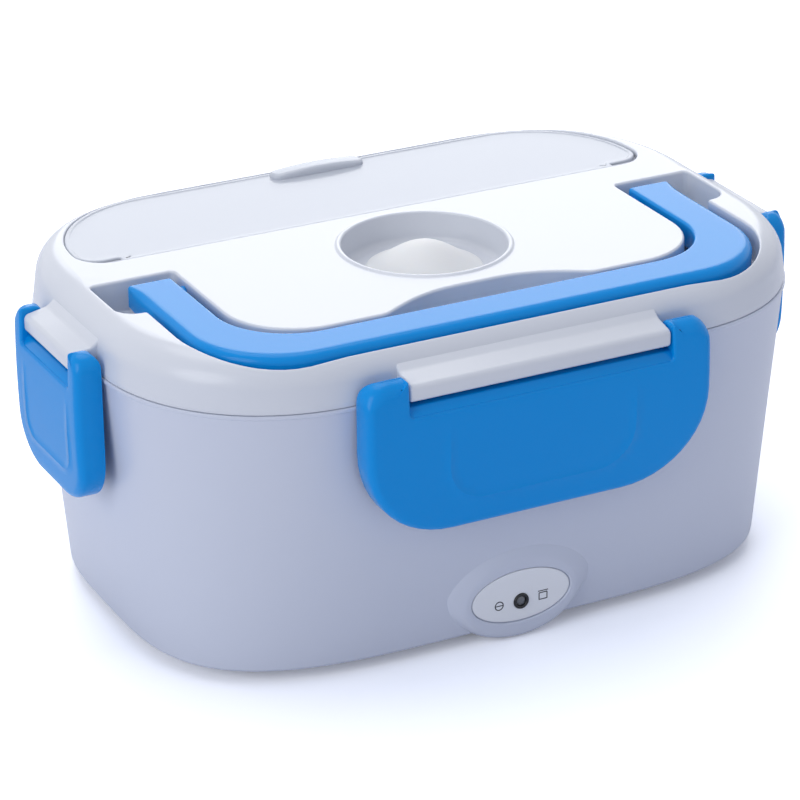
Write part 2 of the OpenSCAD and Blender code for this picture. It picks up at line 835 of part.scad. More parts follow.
// The web between a clip's ears: from the ridge it slopes up to below the lid's tab
module clip_web() {
    top = pin_height - ear_radius - gap;
    polygon([
        [-clip_back - 0.6, ridge_height - cut], [-clip_back - 0.6, top], [-clip_pin_out - 1.8, top],
        [gap - face_at(ridge_height), ridge_height], [gap - face_at(ridge_height), ridge_height - cut]]);
}

module clip_hollow(bottom) {
    steps = 6;
    low = bottom + clip_wall;
    high = ridge_height - clip_wall;
    polygon(concat(
        [for (i = [0:steps]) let (z = high + (low - high) * i / steps) [clip_wall - face_at(z), z]],
        [[cut, low], [cut, high]]));
}

// The outline of a fine line engraved in a clip's face
module clip_line(half, corner, bottom) {
    steps = 8;
    low = bottom + 9;
    high = ridge_height - 2.5;
    intersection() {
        along_x(2 * half) polygon(concat(
            [for (i = [0:steps]) let (z = low + (high - low) * i / steps) [line_deep - face_at(z), z]],
            [[-clip_depth - cut, high], [-clip_depth - cut, low]]));
        outwards(0, clip_depth + 2 * cut) difference() {
            tongue(half, low, high, corner);
            tongue(half - line_width, low + line_width, high - line_width, corner - line_width);
        }
    }
}

// A clip for the front: a hollow shield with two ears, and a hook inside
module latch(half, ear, corner, line, bottom) {
    tab = half - ear;
    ear_corner = min(ear_round, ear - ear_least);
    ear_top = pin_height + ear_radius;
    hook = tab * hook_share;
    color(blue) difference() {
        union() {
            difference() {
                intersection() {
                    along_x(2 * half + cut) clip_section(bottom);
                    outwards(0, clip_depth + ear_radius) {
                        tongue(half, bottom, ear_top - ear_corner, corner);
                        translate([-half + ear_corner, bottom + corner])
                            square([2 * (half - ear_corner), ear_top - bottom - corner]);
                        for (s = [-1, 1]) translate([s * (half - ear_corner), ear_top - ear_corner])
                            circle(ear_corner);
                    }
                }
                intersection() {
                    along_x(2 * half) clip_hollow(bottom);
                    outwards(-2, clip_depth)
                        tongue(half - clip_wall, bottom + clip_wall, ridge_height - clip_wall,
                               corner - clip_wall);
                }
            }
            along_x(2 * hook) polygon([
                [-hook_tip, hook_top], [-hook_tip, hook_top - 1],
                [1 - face_at(hook_top - 4), hook_top - 4], [1 - face_at(hook_top), hook_top]]);
        }
        outwards(-cut, clip_depth + ear_radius) translate([-tab, ridge_height]) square([2 * tab, 30]);
        clip_line(line, corner * 0.45, bottom);
        on_both_sides()
            bar_x(clip_pin_radius + fit, tab - cut, tab - 0.5 + pin_length + gap, -clip_pin_out, pin_height);
    }
    color(blue) along_x(2 * tab + cut) clip_web();
}

module front_latch() {
    at_side(0, half_w) latch(long_clip_half, clip_ear, long_clip_corner, long_line, long_clip_bottom);
}

module rear_latch() {
    at_side(180, half_w) latch(long_clip_half, clip_ear, long_clip_corner, long_line, long_clip_bottom);
}

module left_latch() {
    at_side(-90, half_l) latch(short_clip_half, short_clip_ear, short_clip_corner, short_line, short_clip_bottom);
}

module right_latch() {
    at_side(90, half_l) latch(short_clip_half, short_clip_ear, short_clip_corner, short_line, short_clip_bottom);
}

// ---- Handle, vent and spoon --------------------------------------------------------------

module bail_section() {
    soft = 2;
    translate([handle_corner - handle_bar, 0]) polygon(concat(
        arc([soft, bail_bottom + soft], soft, 180, 270, 4),
        arc([handle_bar - soft, bail_bottom + soft], soft, 270, 360, 4),
        arc([handle_bar - soft, deck - soft], soft, 0, 90, 4),
        arc([soft, deck - soft], soft, 90, 180, 4)));
}

module handle() {
    turn_x = handle_length / 2 - handle_corner;
    turn_y = handle_reach - handle_corner;
    end = arm_end - pivot_forward;
    inside = handle_length / 2 - handle_bar;
    color(blue) {
        difference() {
            union() {
                on_both_sides() {
                    translate([turn_x, -turn_y, 0]) rotate([0, 0, -90])
                        rotate_extrude(angle = 90) bail_section();
                    translate([turn_x, end, 0]) rotate([90, 0, 0])
                        linear_extrude(end + turn_y) bail_section();
                }
                mirror([0, 1, 0]) translate([0, turn_y, 0]) along_x(2 * turn_x) bail_section();
            }
            along_x(handle_length + cut) polygon([
                [end + cut, bail_bottom + 4], [end + cut, bail_bottom - cut], [end - 4, bail_bottom - cut]]);
        }
        on_both_sides()
            bar_x(peg_radius, island_half - peg_grip + gap, inside + 1, -pivot_forward, pivot_height);
    }
}

module vent_plug() {
    brim = well_floor + gap;
    steps = 12;
    top = deck + 0.8;
    shoulder = brim + 2;
    color([0.95, 0.95, 0.93]) translate([0, -vent_forward, 0]) rotate_extrude() polygon(concat(
        [[0, liner_bottom], [vent_hole - gap, liner_bottom], [vent_hole - gap, brim], [plug_radius, brim]],
        [for (i = [0:steps]) let (r = plug_radius * (1 - i / steps))
            [r, shoulder + (top - shoulder) * pow((1 + cos(180 * r / plug_radius)) / 2, 0.6)]]));
}

module spoon() {
    low = bay_floor + gap;
    curve = 30;
    rim = asin(spoon_bowl / curve);
    top = low + curve * (1 - cos(rim));
    color(white) translate([0, spoon_y, 0]) {
        translate([spoon_x, 0, low]) rotate_extrude() polygon(concat(
            arc([0, curve], curve, -90, rim - 90),
            arc([0, curve], curve - spoon_thick, rim - 90, -90)));
        upright(top - spoon_thick, top) {
            translate([spoon_x + spoon_bowl - 1.5, -4.5])
                square([spoon_length / 2 - 4.5 - spoon_x - spoon_bowl + 1.5, 9]);
            translate([spoon_length / 2 - 4.5, 0]) circle(4.5);
        }
    }
}

module spoon_cover() {
    low = cover_seat + 0.2;
    back = bay_back - gap;
    tab_half = 15;
    color(milky) {
        upright(low, low + cover_thick) difference() {
            rotate(90)
                half_moon(cover_axis[0], back, bay_half - gap, bay_corner - gap, bay_small - cover_inset);
            on_both_sides() translate([cover_free, cover_axis[0] - 1]) square([bay_small, 3]);
        }
        on_both_sides() bar_x(barrel, cover_end - bay_small, barrel_half, cover_axis[0], cover_axis[1]);
        along_x(2 * tab_half) polygon([
            [back - 7.4, cover_axis[1]], [back - 5, deck + 1.3], [back - 1.8, deck + 1.5],
            [back - 0.8, deck + 0.6], [back - 0.8, cover_axis[1]]]);
    }
}

housing();
base_cover();
base_screws();
feet();
heater_plate();
plate_gasket();
heating_element();
heater_clamp();
clamp_screws();
thermostat();
thermal_fuse();
wires();
lamp_plate();
lamp_bezel();
lamp_lens();
led_board();
power_inlet();
inlet_pins();
food_container();
side_dish();
lid_shell();
lid_liner();
lid_gasket();
front_latch();
rear_latch();
left_latch();
right_latch();
handle();
vent_plug();
spoon();
spoon_cover();
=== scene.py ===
# %% [markdown]
# # A heated lunch box, dressed for the camera
#
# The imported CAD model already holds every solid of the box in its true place. This notebook gives
# the box its looks. The pieces that show, such as the moulded lid, the body, the clips and the
# handle, are made again with the soft edges that a mould leaves, and every piece gets a finish
# made of shader nodes. Nothing is moved: each new piece stands where its CAD solid stands.

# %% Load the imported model
import json
import math

import bmesh
import bpy
import numpy as np
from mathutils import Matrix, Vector
from mathutils.geometry import delaunay_2d_cdt

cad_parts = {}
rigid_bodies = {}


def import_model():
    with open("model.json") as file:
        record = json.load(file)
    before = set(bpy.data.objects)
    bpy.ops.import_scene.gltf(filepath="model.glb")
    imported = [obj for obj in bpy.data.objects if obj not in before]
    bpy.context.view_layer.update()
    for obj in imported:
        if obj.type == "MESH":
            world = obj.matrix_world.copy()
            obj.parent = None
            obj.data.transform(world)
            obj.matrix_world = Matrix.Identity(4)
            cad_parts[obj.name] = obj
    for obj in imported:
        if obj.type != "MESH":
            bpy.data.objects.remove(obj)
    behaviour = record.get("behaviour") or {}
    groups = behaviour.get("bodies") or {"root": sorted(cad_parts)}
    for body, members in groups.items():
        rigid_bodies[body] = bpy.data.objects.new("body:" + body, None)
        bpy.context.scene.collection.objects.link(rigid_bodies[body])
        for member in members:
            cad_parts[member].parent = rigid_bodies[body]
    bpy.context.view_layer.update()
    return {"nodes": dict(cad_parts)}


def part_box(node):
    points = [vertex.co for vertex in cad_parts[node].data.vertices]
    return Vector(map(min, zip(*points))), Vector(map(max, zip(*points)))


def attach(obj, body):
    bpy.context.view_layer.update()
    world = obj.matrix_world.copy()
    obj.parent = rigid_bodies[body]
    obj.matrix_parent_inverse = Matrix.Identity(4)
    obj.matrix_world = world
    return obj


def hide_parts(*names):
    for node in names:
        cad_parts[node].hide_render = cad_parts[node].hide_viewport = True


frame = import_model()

# %% [markdown]
# ## Sizes
#
# Sizes are written in millimetres, as on a moulder's drawing, and become metres only when a mesh
# is made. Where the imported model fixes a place, it is measured there, so that the new pieces keep
# to the old ones. X runs along the box, the front faces -Y and Z is up.

# %% Measure the frame
MM = 0.001
WALL = 2.2
GAP = 0.3


def span(node):
    """Lowest and highest corner of a CAD node, in millimetres."""
    low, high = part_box(node)
    return np.array(low) / MM, np.array(high) / MM


half_long, half_wide = span("lid_liner")[1][:2] + WALL + GAP
seam = span("lid_liner")[0][2] - 2 * GAP
deck = span("handle")[1][2]
foot_line = span("base_cover")[0][2] - 0.4
print(f"seam outline {2 * half_long:.1f} x {2 * half_wide:.1f}, seam at {seam:.1f}, deck at {deck:.1f}")

# %% [markdown]
# ## Lines with rounded corners
#
# Nearly every shape on the box starts as a line with rounded corners: the plan of the lid, the
# bail, a pocket, the front view of a clip or the section of a wall. A corner is written as x, y
# and its radius. Beside its points, an outline keeps the direction straight out of it, so that it
# can be grown or shrunk by an exact distance. That is what makes even fillets possible.

# %% Outlines
class Outline:
    """Points along a line, counter-clockwise if it is closed, with the direction out of it.

    corners holds, for each point, how far it can move in and out before it reaches the middle of
    its rounding, and the way it goes from there.
    """

    def __init__(self, points, normals, corners=None):
        self.points = np.array(points, float)
        self.normals = np.array(normals, float)
        free = np.tile((-np.inf, np.inf, 0, 0), (len(self.points), 1))
        self.corners = free if corners is None else np.array(corners, float)

    def __len__(self):
        return len(self.points)

    def at(self, offset):
        """The points, moved out by one distance or by one for each point."""
        offset = np.broadcast_to(offset, len(self))
        near = np.clip(offset, self.corners[:, 0], self.corners[:, 1])
        return self.points + self.normals * near[:, None] + self.corners[:, 2:] * (offset - near)[:, None]

    def spaced(self, spacing, closed=True):
        """The same line with points added wherever two are further apart than spacing."""
        points, normals, corners = [], [], []
        count = len(self)
        for i in range(count):
            j = (i + 1) % count
            length = np.linalg.norm(self.points[j] - self.points[i])
            cuts = 1 if j == 0 and not closed else max(1, math.ceil(length / spacing))
            for k in range(cuts):
                share = k / cuts
                points.append(self.points[i] * (1 - share) + self.points[j] * share)
                normals.append(unit(self.normals[i] * (1 - share) + self.normals[j] * share))
                corners.append((-np.inf, np.inf, 0, 0) if k else self.corners[i])
        return Outline(points, normals, corners)


def unit(v):
    return np.array(v, float) / np.linalg.norm(v)


def fitting_radii(spots, radii, turns, closed):
    """Cuts down the radii of neighbouring corners where their roundings would overlap."""
    radii = np.array(radii, float)
    half = np.tan(np.abs(turns) / 2)
    for i in range(len(spots) if closed else len(spots) - 1):
        j = (i + 1) % len(spots)
        needed = radii[i] * half[i] + radii[j] * half[j]
        length = np.linalg.norm(spots[j] - spots[i])
        if needed > length:
            radii[[i, j]] *= 0.999 * length / needed
    return radii


def rounded(corners, closed=True, turn=10.0, spacing=8.0):
    """A line through corners (x, y, radius)."""
    spots = np.array([corner[:2] for corner in corners], float)
    ways = [unit(spots[(i + 1) % len(spots)] - spots[i]) for i in range(len(spots))]
    turns = [math.atan2(a[0] * b[1] - a[1] * b[0], a @ b) for a, b in zip([ways[-1]] + ways, ways)]
    if not closed:
        ways[-1], turns[0], turns[-1] = ways[-2], 0, 0
    radii = fitting_radii(spots, [corner[2] for corner in corners], turns, closed)
    points, normals, limits = [], [], []
    for i, (spot, radius, angle) in enumerate(zip(spots, radii, turns)):
        if not closed and i in (0, len(spots) - 1):
            points.append(spot)
            normals.append((ways[i][1], -ways[i][0]))
            limits.append((-np.inf, np.inf, 0, 0))
            continue
        into, out, side = ways[i - 1], ways[i], math.copysign(1, angle)
        middle = into + out
        spread = np.array((middle[1], -middle[0])) / (np.linalg.norm(middle) * math.cos(angle / 2))
        centre = spot - spread * radius * side
        steps = max(2, math.ceil(abs(math.degrees(angle)) / turn)) if radius > 0.01 else 1
        for k in range(steps + 1):
            c, s = math.cos(angle * k / steps), math.sin(angle * k / steps)
            way = (into[0] * c - into[1] * s, into[0] * s + into[1] * c)
            normal = np.array((way[1], -way[0]))
            points.append(centre + normal * radius * side)
            normals.append(normal)
            limits.append((-radius, np.inf, *spread) if side > 0 else (-np.inf, radius, *spread))
    return Outline(points, normals, limits).spaced(spacing, closed)


def rectangle(low, high, front, back=None, **options):
    """A rectangle from two opposite corners, with one radius for its front corners and one behind."""
    (x0, y0), (x1, y1), back = low, high, front if back is None else back
    return rounded([(x0, y0, front), (x1, y0, front), (x1, y1, back), (x0, y1, back)], **options)


def four(x, y):
    """A spot and its mirror images, counter-clockwise."""
    return (x, y), (-x, y), (-x, -y), (x, -y)


def mirrored(right, **options):
    """A closed line from the corners of its right half."""
    return rounded(right + [(-x, y, radius) for x, y, radius in reversed(right)], **options)


def oval(half, rise, centre=(0, 0), count=72):
    """An ellipse from its half sizes."""
    turns = np.linspace(0, 2 * math.pi, count, endpoint=False)
    points = np.column_stack((half * np.cos(turns), rise * np.sin(turns))) + centre
    normals = np.column_stack((rise * np.cos(turns), half * np.sin(turns)))
    return Outline(points, normals / np.linalg.norm(normals, axis=1)[:, None])


def section(corners, turn=18.0, spacing=6.0):
    """A section as a list of (distance out, height), from corners with radii."""
    return rounded(corners, closed=False, turn=turn, spacing=spacing).points


print("a unit square with soft corners has", len(rectangle((0, 0), (1, 1), 0.2)), "points")

# %% [markdown]
# ## The plan of the box
#
# Body and lid share one plan. Its corners are not quarter circles: they swell a little, as the
# corners of such boxes do, so they are quarters of a superellipse. A fullness of 2 would be an
# ellipse. Lower down the corners grow longer, so the foot of the body has a plan of its own, with
# the same number of points, and the side of the body runs from one to the other.

# %% The plans of body and lid
TAPER = 6.9


def box_plan(fullness, along, across, steps=22, long_cuts=18, short_cuts=8):
    """Superellipse corners of a fullness and a reach, with the straights cut evenly."""
    points, normals = [], []
    for sx, sy in four(1, 1):
        turns = np.linspace(0, math.pi / 2, steps + 1)
        for turn in turns if sx == sy else turns[::-1]:
            x, y = max(math.cos(turn), 0) ** (2 / fullness), max(math.sin(turn), 0) ** (2 / fullness)
            points.append((sx * (half_long - along + along * x), sy * (half_wide - across + across * y)))
            normals.append(unit((sx * x ** (fullness - 1) / along, sy * y ** (fullness - 1) / across)))
        (x, y), normal = points[-1], normals[-1]
        way, cuts = ((-2 * x, 0), long_cuts) if sx == sy else ((0, -2 * y), short_cuts)
        for k in range(1, cuts):
            points.append(np.array((x, y)) + np.array(way) * k / cuts)
            normals.append(normal)
    return Outline(points, normals)


def wall_at(z):
    """How far the body's side stands outside the plan at a height."""
    return -TAPER * (seam - z) / (seam - foot_line)


def body_line(out, z):
    """The body's outline at a height, moved out by a distance."""
    share = min(max((seam - z) / (seam - foot_line), 0), 1)
    return plan.at(out) * (1 - share) + foot_plan.at(out) * share


plan = box_plan(fullness=2.12, along=56.0, across=56.0)
foot_plan = box_plan(fullness=2.99, along=88.6, across=69.0)
print("points round the body:", len(plan), "and round its foot:", len(foot_plan))

# %% [markdown]
# ## Shells
#
# A moulded part is a few flat or gently curved faces joined by walls that run round an outline.
# So a shell is built from rings: the outline at a chosen offset and height. Neighbouring rings are
# joined with quads, and a flat face with holes is closed with a constrained triangulation. Each
# fillet gets a ring on the flat beside it, which keeps the shading of the flat face flat.

# %% Shells made of rings
def inside(spots, loops):
    """Which of the spots lie inside the first closed loop and outside the others."""
    x, y = np.asarray(spots)[:, 0, None], np.asarray(spots)[:, 1, None]
    crossings = np.zeros(len(x), int)
    for loop in loops:
        x1, y1 = np.transpose(loop)
        x2, y2 = np.roll(x1, -1), np.roll(y1, -1)
        rise = np.where(y2 == y1, 1, y2 - y1)
        crossings += (((y1 > y) != (y2 > y)) & (x < (x2 - x1) * (y - y1) / rise + x1)).sum(axis=1)
    return crossings % 2 == 1


class Shell:
    """Rings of points and the faces between them. place turns (u, v, height) into x, y, z."""

    def __init__(self, place=lambda u, v, h: (u, v, h)):
        self.place = place
        self.points, self.flat, self.faces = [], [], []

    def ring(self, flat, height):
        """Adds a ring of points. height is one number, one for each point or a function of (u, v)."""
        first = len(self.points)
        if callable(height):
            height = [height(u, v) for u, v in flat]
        for (u, v), h in zip(flat, np.broadcast_to(height, len(flat))):
            self.points.append(self.place(u, v, h))
            self.flat.append((u, v))
        return list(range(first, len(self.points)))

    def join(self, rings, closed=False):
        for a, b in zip(rings, rings[1:] + rings[:1] if closed else rings[1:]):
            for i in range(len(a)):
                j = (i + 1) % len(a)
                self.faces.append((a[i], a[j], b[j], b[i]))

    def carry(self, outline, profile, closed=False):
        """Carries a section round an outline and returns its rings."""
        rings = [self.ring(outline.at(out), height) for out, height in profile]
        self.join(rings, closed)
        return rings

    def fill(self, outer, holes=(), height=None, spacing=None):
        """Closes the area inside one ring and outside others; height(u, v) makes it a curved face."""
        rings = [outer, *holes]
        index = [i for ring in rings for i in ring]
        edges, start = [], 0
        for ring in rings:
            edges += [(start + k, start + (k + 1) % len(ring)) for k in range(len(ring))]
            start += len(ring)
        loops = [[self.flat[i] for i in ring] for ring in rings]
        if height:
            index += self.ring(grid_inside(loops, spacing), height)
        found = delaunay_2d_cdt([Vector(self.flat[i]) for i in index], edges, [], 0, 1e-6)
        spots, triangles, origin = np.array(found[0]), found[2], found[3]
        middles = spots[np.array(triangles)].mean(axis=1)
        assert all(origin), "loops of a filled face cross"
        self.faces += [tuple(index[origin[i][0]] for i in triangle)
                       for triangle, kept in zip(triangles, inside(middles, loops)) if kept]


def grid_inside(loops, spacing):
    """Points of a square grid inside the first loop and outside the others, clear of them all."""
    low, high = np.min(loops[0], axis=0), np.max(loops[0], axis=0)
    axes = [np.linspace(low[k], high[k], math.ceil((high[k] - low[k]) / spacing) + 1) for k in (0, 1)]
    grid = np.array([(u, v) for u in axes[0] for v in axes[1]])
    border = np.concatenate([np.array(loop) for loop in loops])
    near = np.linalg.norm(grid[:, None] - border[None], axis=2).min(axis=1)
    return grid[inside(grid, loops) & (near > 0.7 * spacing)]


def cushion(shell, outline, low, high, soft_low, soft_high, steps=5):
    """A flat piece with soft edges above and below; softness may differ from point to point."""
    turns = np.linspace(0, 1, steps) * math.pi / 2
    rings = []
    for soft, level, up in ((soft_low, low, 1), (soft_high, high, -1)):
        soft = np.broadcast_to(soft, len(outline)).astype(float)
        edge = [shell.ring(outline.at(-1.2 * soft - 0.05), level)]
        for turn in turns:
            rise = up * soft * (1 - math.cos(turn))
            edge.append(shell.ring(outline.at(-soft * (1 - math.sin(turn))), level + rise))
        rings += edge if up > 0 else edge[::-1]
    shell.join(rings)
    shell.fill(rings[0])
    shell.fill(rings[-1])
    return rings


# %% [markdown]
# ## Finishes
#
# A shader is a sum: a colour that drifts a little, a gloss that handling has dulled in places and
# a fine ripple from the mould. The class below lets that sum be written as one. Maths on a wire
# adds Math nodes, so `0.3 + 0.1 * noise` is a line of Python and two nodes in Blender.

# %% Shader wires
class Wire:
    """An output of a shader node. Maths on it adds Math nodes."""

    def __init__(self, owner, socket):
        self.owner, self.socket = owner, socket

    def maths(self, operation, first, second):
        return self.owner.node("ShaderNodeMath", {"operation": operation}, (first, second))

    def __add__(self, other):
        return self.maths("ADD", self, other)

    def __radd__(self, other):
        return self.maths("ADD", other, self)

    def __sub__(self, other):
        return self.maths("SUBTRACT", self, other)

    def __rsub__(self, other):
        return self.maths("SUBTRACT", other, self)

    def __mul__(self, other):
        return self.maths("MULTIPLY", self, other)

    def __rmul__(self, other):
        return self.maths("MULTIPLY", other, self)


class Nodes:
    """A tree of shader nodes, with one method for any node."""

    def __init__(self, tree):
        self.tree = tree

    def node(self, kind, settings=None, inputs=(), output=0):
        """Adds a node: its settings come first, then the values or wires of its sockets."""
        made = self.tree.nodes.new(kind)
        for key, value in (settings or {}).items():
            setattr(made, key, value)
        for key, value in inputs.items() if isinstance(inputs, dict) else enumerate(inputs):
            self.feed(made.inputs[key], value)
        return Wire(self, made.outputs[output]) if made.outputs else None

    def feed(self, socket, value):
        if isinstance(value, Wire):
            self.tree.links.new(value.socket, socket)
        else:
            socket.default_value = value

    def blend(self, share, first, second):
        """A colour between two colours."""
        return self.node("ShaderNodeMix", {"data_type": "RGBA"}, {0: share, 6: first, 7: second}, 2)


class Finish(Nodes):
    """A material with one Principled shader, fed by wires."""

    def __init__(self, name, **fixed):
        self.material = bpy.data.materials.new(name)
        self.material.use_nodes = True
        super().__init__(self.material.node_tree)
        self.shader = self.tree.nodes["Principled BSDF"]
        self.set(**fixed)
        self.place = self.node("ShaderNodeTexCoord", output="Object")

    def set(self, **values):
        for socket, value in values.items():
            self.feed(self.shader.inputs[socket.replace("_", " ")], value)

    def noise(self, scale, detail=2.0, place=None):
        inputs = {"Vector": place or self.place, "Scale": scale, "Detail": detail}
        return self.node("ShaderNodeTexNoise", {}, inputs)

    def stretched(self, x, y, z):
        """Object coordinates with each axis scaled, for marks that run one way."""
        return self.node("ShaderNodeVectorMath", {"operation": "MULTIPLY"}, (self.place, (x, y, z)))

    def bump(self, height, depth):
        """Relief of a depth in millimetres."""
        self.set(Normal=self.node("ShaderNodeBump", {}, {"Distance": depth * MM, "Height": height}))


def ink(red, green, blue):
    """A colour as seen on a screen, 0 to 255, as the linear colour that Blender works in."""
    parts = [c / 255 for c in (red, green, blue)]
    return (*[p / 12.92 if p <= 0.04045 else ((p + 0.055) / 1.055) ** 2.4 for p in parts], 1.0)


FINISHES = {}

# %% [markdown]
# ### Moulded plastic
#
# The white body, the lid and the blue clips are glossy injection-moulded plastic. Up close such a
# surface has a faint orange peel from the mould, cloudy patches where fingers have dulled the
# gloss and hardly any drift in its colour.

# %% Glossy and satin plastics
def moulded(slot, pale, deep, gloss=0.2, peel=0.001, smudge=0.04, **fixed):
    finish = Finish(slot, **fixed)
    flow = finish.noise(14, 2)
    touch = finish.noise(70, 4)
    finish.set(Base_Color=finish.blend(flow, deep, pale), Roughness=gloss + smudge * (touch - 0.42))
    finish.bump(finish.noise(300, 1), peel)
    FINISHES[slot] = finish.material


moulded("body_white", ink(210, 215, 228), ink(209, 214, 227), gloss=0.31)
moulded("lid_white", ink(221, 224, 230), ink(220, 223, 229), gloss=0.25)
moulded("clip_blue", ink(0, 148, 227), ink(0, 146, 226), gloss=0.2, smudge=0.03, Specular_IOR_Level=0.2)
moulded("bowl_milky", ink(232, 237, 246), ink(224, 231, 243), gloss=0.32, Subsurface_Weight=0.15,
        Subsurface_Radius=(0.004, 0.005, 0.006), Subsurface_Scale=1.0)
moulded("spoon_white", ink(238, 240, 245), ink(231, 234, 242), gloss=0.3)
moulded("black_plastic", ink(34, 34, 37), ink(26, 26, 29), gloss=0.38, peel=0.01)
moulded("fuse_white", ink(232, 232, 228), ink(220, 221, 219), gloss=0.3)
moulded("wire_red", ink(186, 30, 28), ink(164, 22, 22), gloss=0.42)
print("plastics:", len(FINISHES))

# %% [markdown]
# ### Rubber, silicone and milky plastic
#
# The steam plug and the seals are matt: light enters a little and leaves softly, so they get some
# subsurface light and a coarser grain. The spoon cover is thin milky plastic, so it lets a trace
# of the spoon show through.

# %% Soft and milky finishes
def matt(slot, pale, deep, gloss, grain, depth, **fixed):
    finish = Finish(slot, **fixed)
    powder = finish.noise(grain, 4)
    finish.set(Base_Color=finish.blend(finish.noise(40, 3), deep, pale),
               Roughness=gloss + 0.14 * powder)
    finish.bump(powder, depth)
    FINISHES[slot] = finish.material


SOFT_LIGHT = dict(Subsurface_Weight=0.3, Subsurface_Radius=(0.006, 0.005, 0.004), Subsurface_Scale=1.0)
matt("silicone", ink(240, 240, 238), ink(233, 233, 231), 0.52, 500, 0.02, **SOFT_LIGHT)
matt("seal", ink(218, 223, 232), ink(206, 212, 224), 0.48, 600, 0.02, **SOFT_LIGHT)
matt("foot_rubber", ink(62, 64, 68), ink(46, 48, 52), 0.62, 900, 0.03)
matt("lamp_grey", ink(244, 245, 247), ink(238, 240, 243), 0.3, 1200, 0.01)
matt("board_green", ink(24, 96, 62), ink(18, 80, 52), 0.35, 700, 0.02)
matt("element", ink(214, 212, 202), ink(192, 189, 178), 0.6, 300, 0.05)
moulded("cover_milky", ink(216, 220, 228), ink(213, 218, 227), gloss=0.18, peel=0.003, Alpha=0.8)
print("finishes so far:", len(FINISHES))

# %% [markdown]
# ### Metals and the lens
#
# The warm plate is brushed along its length: the same noise, squeezed along X, gives long fine
# scratches. Screws and pins are plain bright metal with a little wear.

# %% Metals and the lens
def metal(slot, pale, deep, gloss, stretch, scale, depth):
    finish = Finish(slot, Metallic=1.0)
    scratches = finish.noise(scale, 3, finish.stretched(*stretch))
    finish.set(Base_Color=finish.blend(scratches, deep, pale), Roughness=gloss + 0.2 * scratches)
    finish.bump(scratches, depth)
    FINISHES[slot] = finish.material


metal("warm_plate", ink(212, 214, 217), ink(176, 179, 184), 0.22, (0.04, 1, 1), 900, 0.02)
metal("screw_steel", ink(205, 206, 208), ink(160, 162, 166), 0.25, (1, 1, 0.2), 700, 0.02)
metal("pin_brass", ink(226, 196, 122), ink(190, 158, 92), 0.25, (1, 0.1, 1), 700, 0.02)

lens = Finish("lens", Coat_Weight=0.4, Coat_Roughness=0.05)
facets = lens.node("ShaderNodeTexVoronoi", {}, {"Vector": lens.place, "Scale": 1400.0})
lens.set(Base_Color=lens.blend(facets, ink(118, 120, 124), ink(84, 86, 90)), Roughness=0.25 + 0.1 * facets)
lens.bump(facets, 0.03)
FINISHES["lens"] = lens.material
print("finishes:", sorted(FINISHES))

# %% [markdown]
# ## From shell to piece
#
# A shell becomes a mesh in metres. Points that coincide are merged, all faces are turned outwards,
# and edges sharper than a fillet's are marked sharp. The piece then rides on its body and stands
# in for its CAD node.

# %% Make pieces
SHARP = math.radians(38)


def mesh_of(name, shells):
    """A mesh in metres from one shell or several, and the number of its open edges."""
    work = bmesh.new()
    for shell in shells if isinstance(shells, list) else [shells]:
        spots = [work.verts.new(Vector(point) * MM) for point in shell.points]
        for face in shell.faces:
            work.faces.new([spots[i] for i in face])
    bmesh.ops.remove_doubles(work, verts=work.verts, dist=0.0005 * MM)
    bmesh.ops.delete(work, geom=[v for v in work.verts if not v.link_faces], context="VERTS")
    bmesh.ops.recalc_face_normals(work, faces=work.faces)
    mesh = bpy.data.meshes.new(name)
    work.to_mesh(mesh)
    open_edges = sum(1 for edge in work.edges if len(edge.link_faces) != 2)
    work.free()
    mesh.shade_smooth()
    mesh.set_sharp_from_angle(angle=SHARP)
    return mesh, open_edges


def stand(name, data):
    """An object for a mesh, a lamp or a camera, in the scene."""
    thing = bpy.data.objects.new(name, data)
    bpy.context.scene.collection.objects.link(thing)
    return thing


def make(name, shells, slot, body, nodes=()):
    mesh, open_edges = mesh_of(name, shells)
    place_piece(stand(name, mesh), slot, body, nodes, f"{open_edges} open edges")


def place_piece(thing, slot, body, nodes, note):
    """Gives an object its finish, its body and the CAD nodes that it replaces."""
    thing.data.materials.clear()
    thing.data.materials.append(FINISHES[slot])
    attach(thing, body)
    if nodes:
        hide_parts(*nodes)
    print(f"{thing.name}: {len(thing.data.polygons)} faces, {slot}, on {body}. {note}")


# %% [markdown]
# ## Body
#
# The body is a tapered tub. One section, from the lower edge over the outside, across the rim with
# its thin bead and down the inside, is carried round the plan, which gives a closed wall in one
# go. The inner floor with its window for the warm plate is a second slab in the same piece.

# %% Body wall and floor
RIM = seam - 3.0
BEAD = 0.5
LEDGE = 3.0
FLOOR = 22.0
SEAL_WIDTH = 7.0


def body_wall():
    shell = Shell()
    corners = [(wall_at(foot_line) - WALL, foot_line, 0.6), (wall_at(foot_line), foot_line, 2.4),
               (wall_at(seam - 1.5), seam - 1.5, 0.6), (BEAD, seam - 1.1, 0.25), (BEAD, seam - 0.1, 0.25),
               (-WALL, seam - 0.1, 0.5), (-WALL, RIM, 0.5), (-WALL - LEDGE, RIM, 0.4),
               (-WALL - LEDGE, RIM - 1.2, 0.4), (wall_at(RIM - 4) - WALL, RIM - 4, 0.6)]
    profile = rounded(corners, turn=18, spacing=12).points
    shell.join([shell.ring(body_line(out, z), z) for out, z in profile], closed=True)
    return shell


def body_floor():
    shell = Shell()
    side = wall_at(FLOOR) - WALL / 2
    edge = [shell.ring(body_line(side, z), z) for z in (FLOOR, FLOOR + WALL)]
    shell.join(edge)
    low, high = span("plate_gasket")
    window = rectangle(low[:2] + SEAL_WIDTH, high[:2] - SEAL_WIDTH, 6.5)
    rim = shell.carry(window, [(0, FLOOR), (0, FLOOR + WALL)])
    shell.fill(edge[0], [rim[0]])
    shell.fill(edge[-1], [rim[-1]])
    return shell


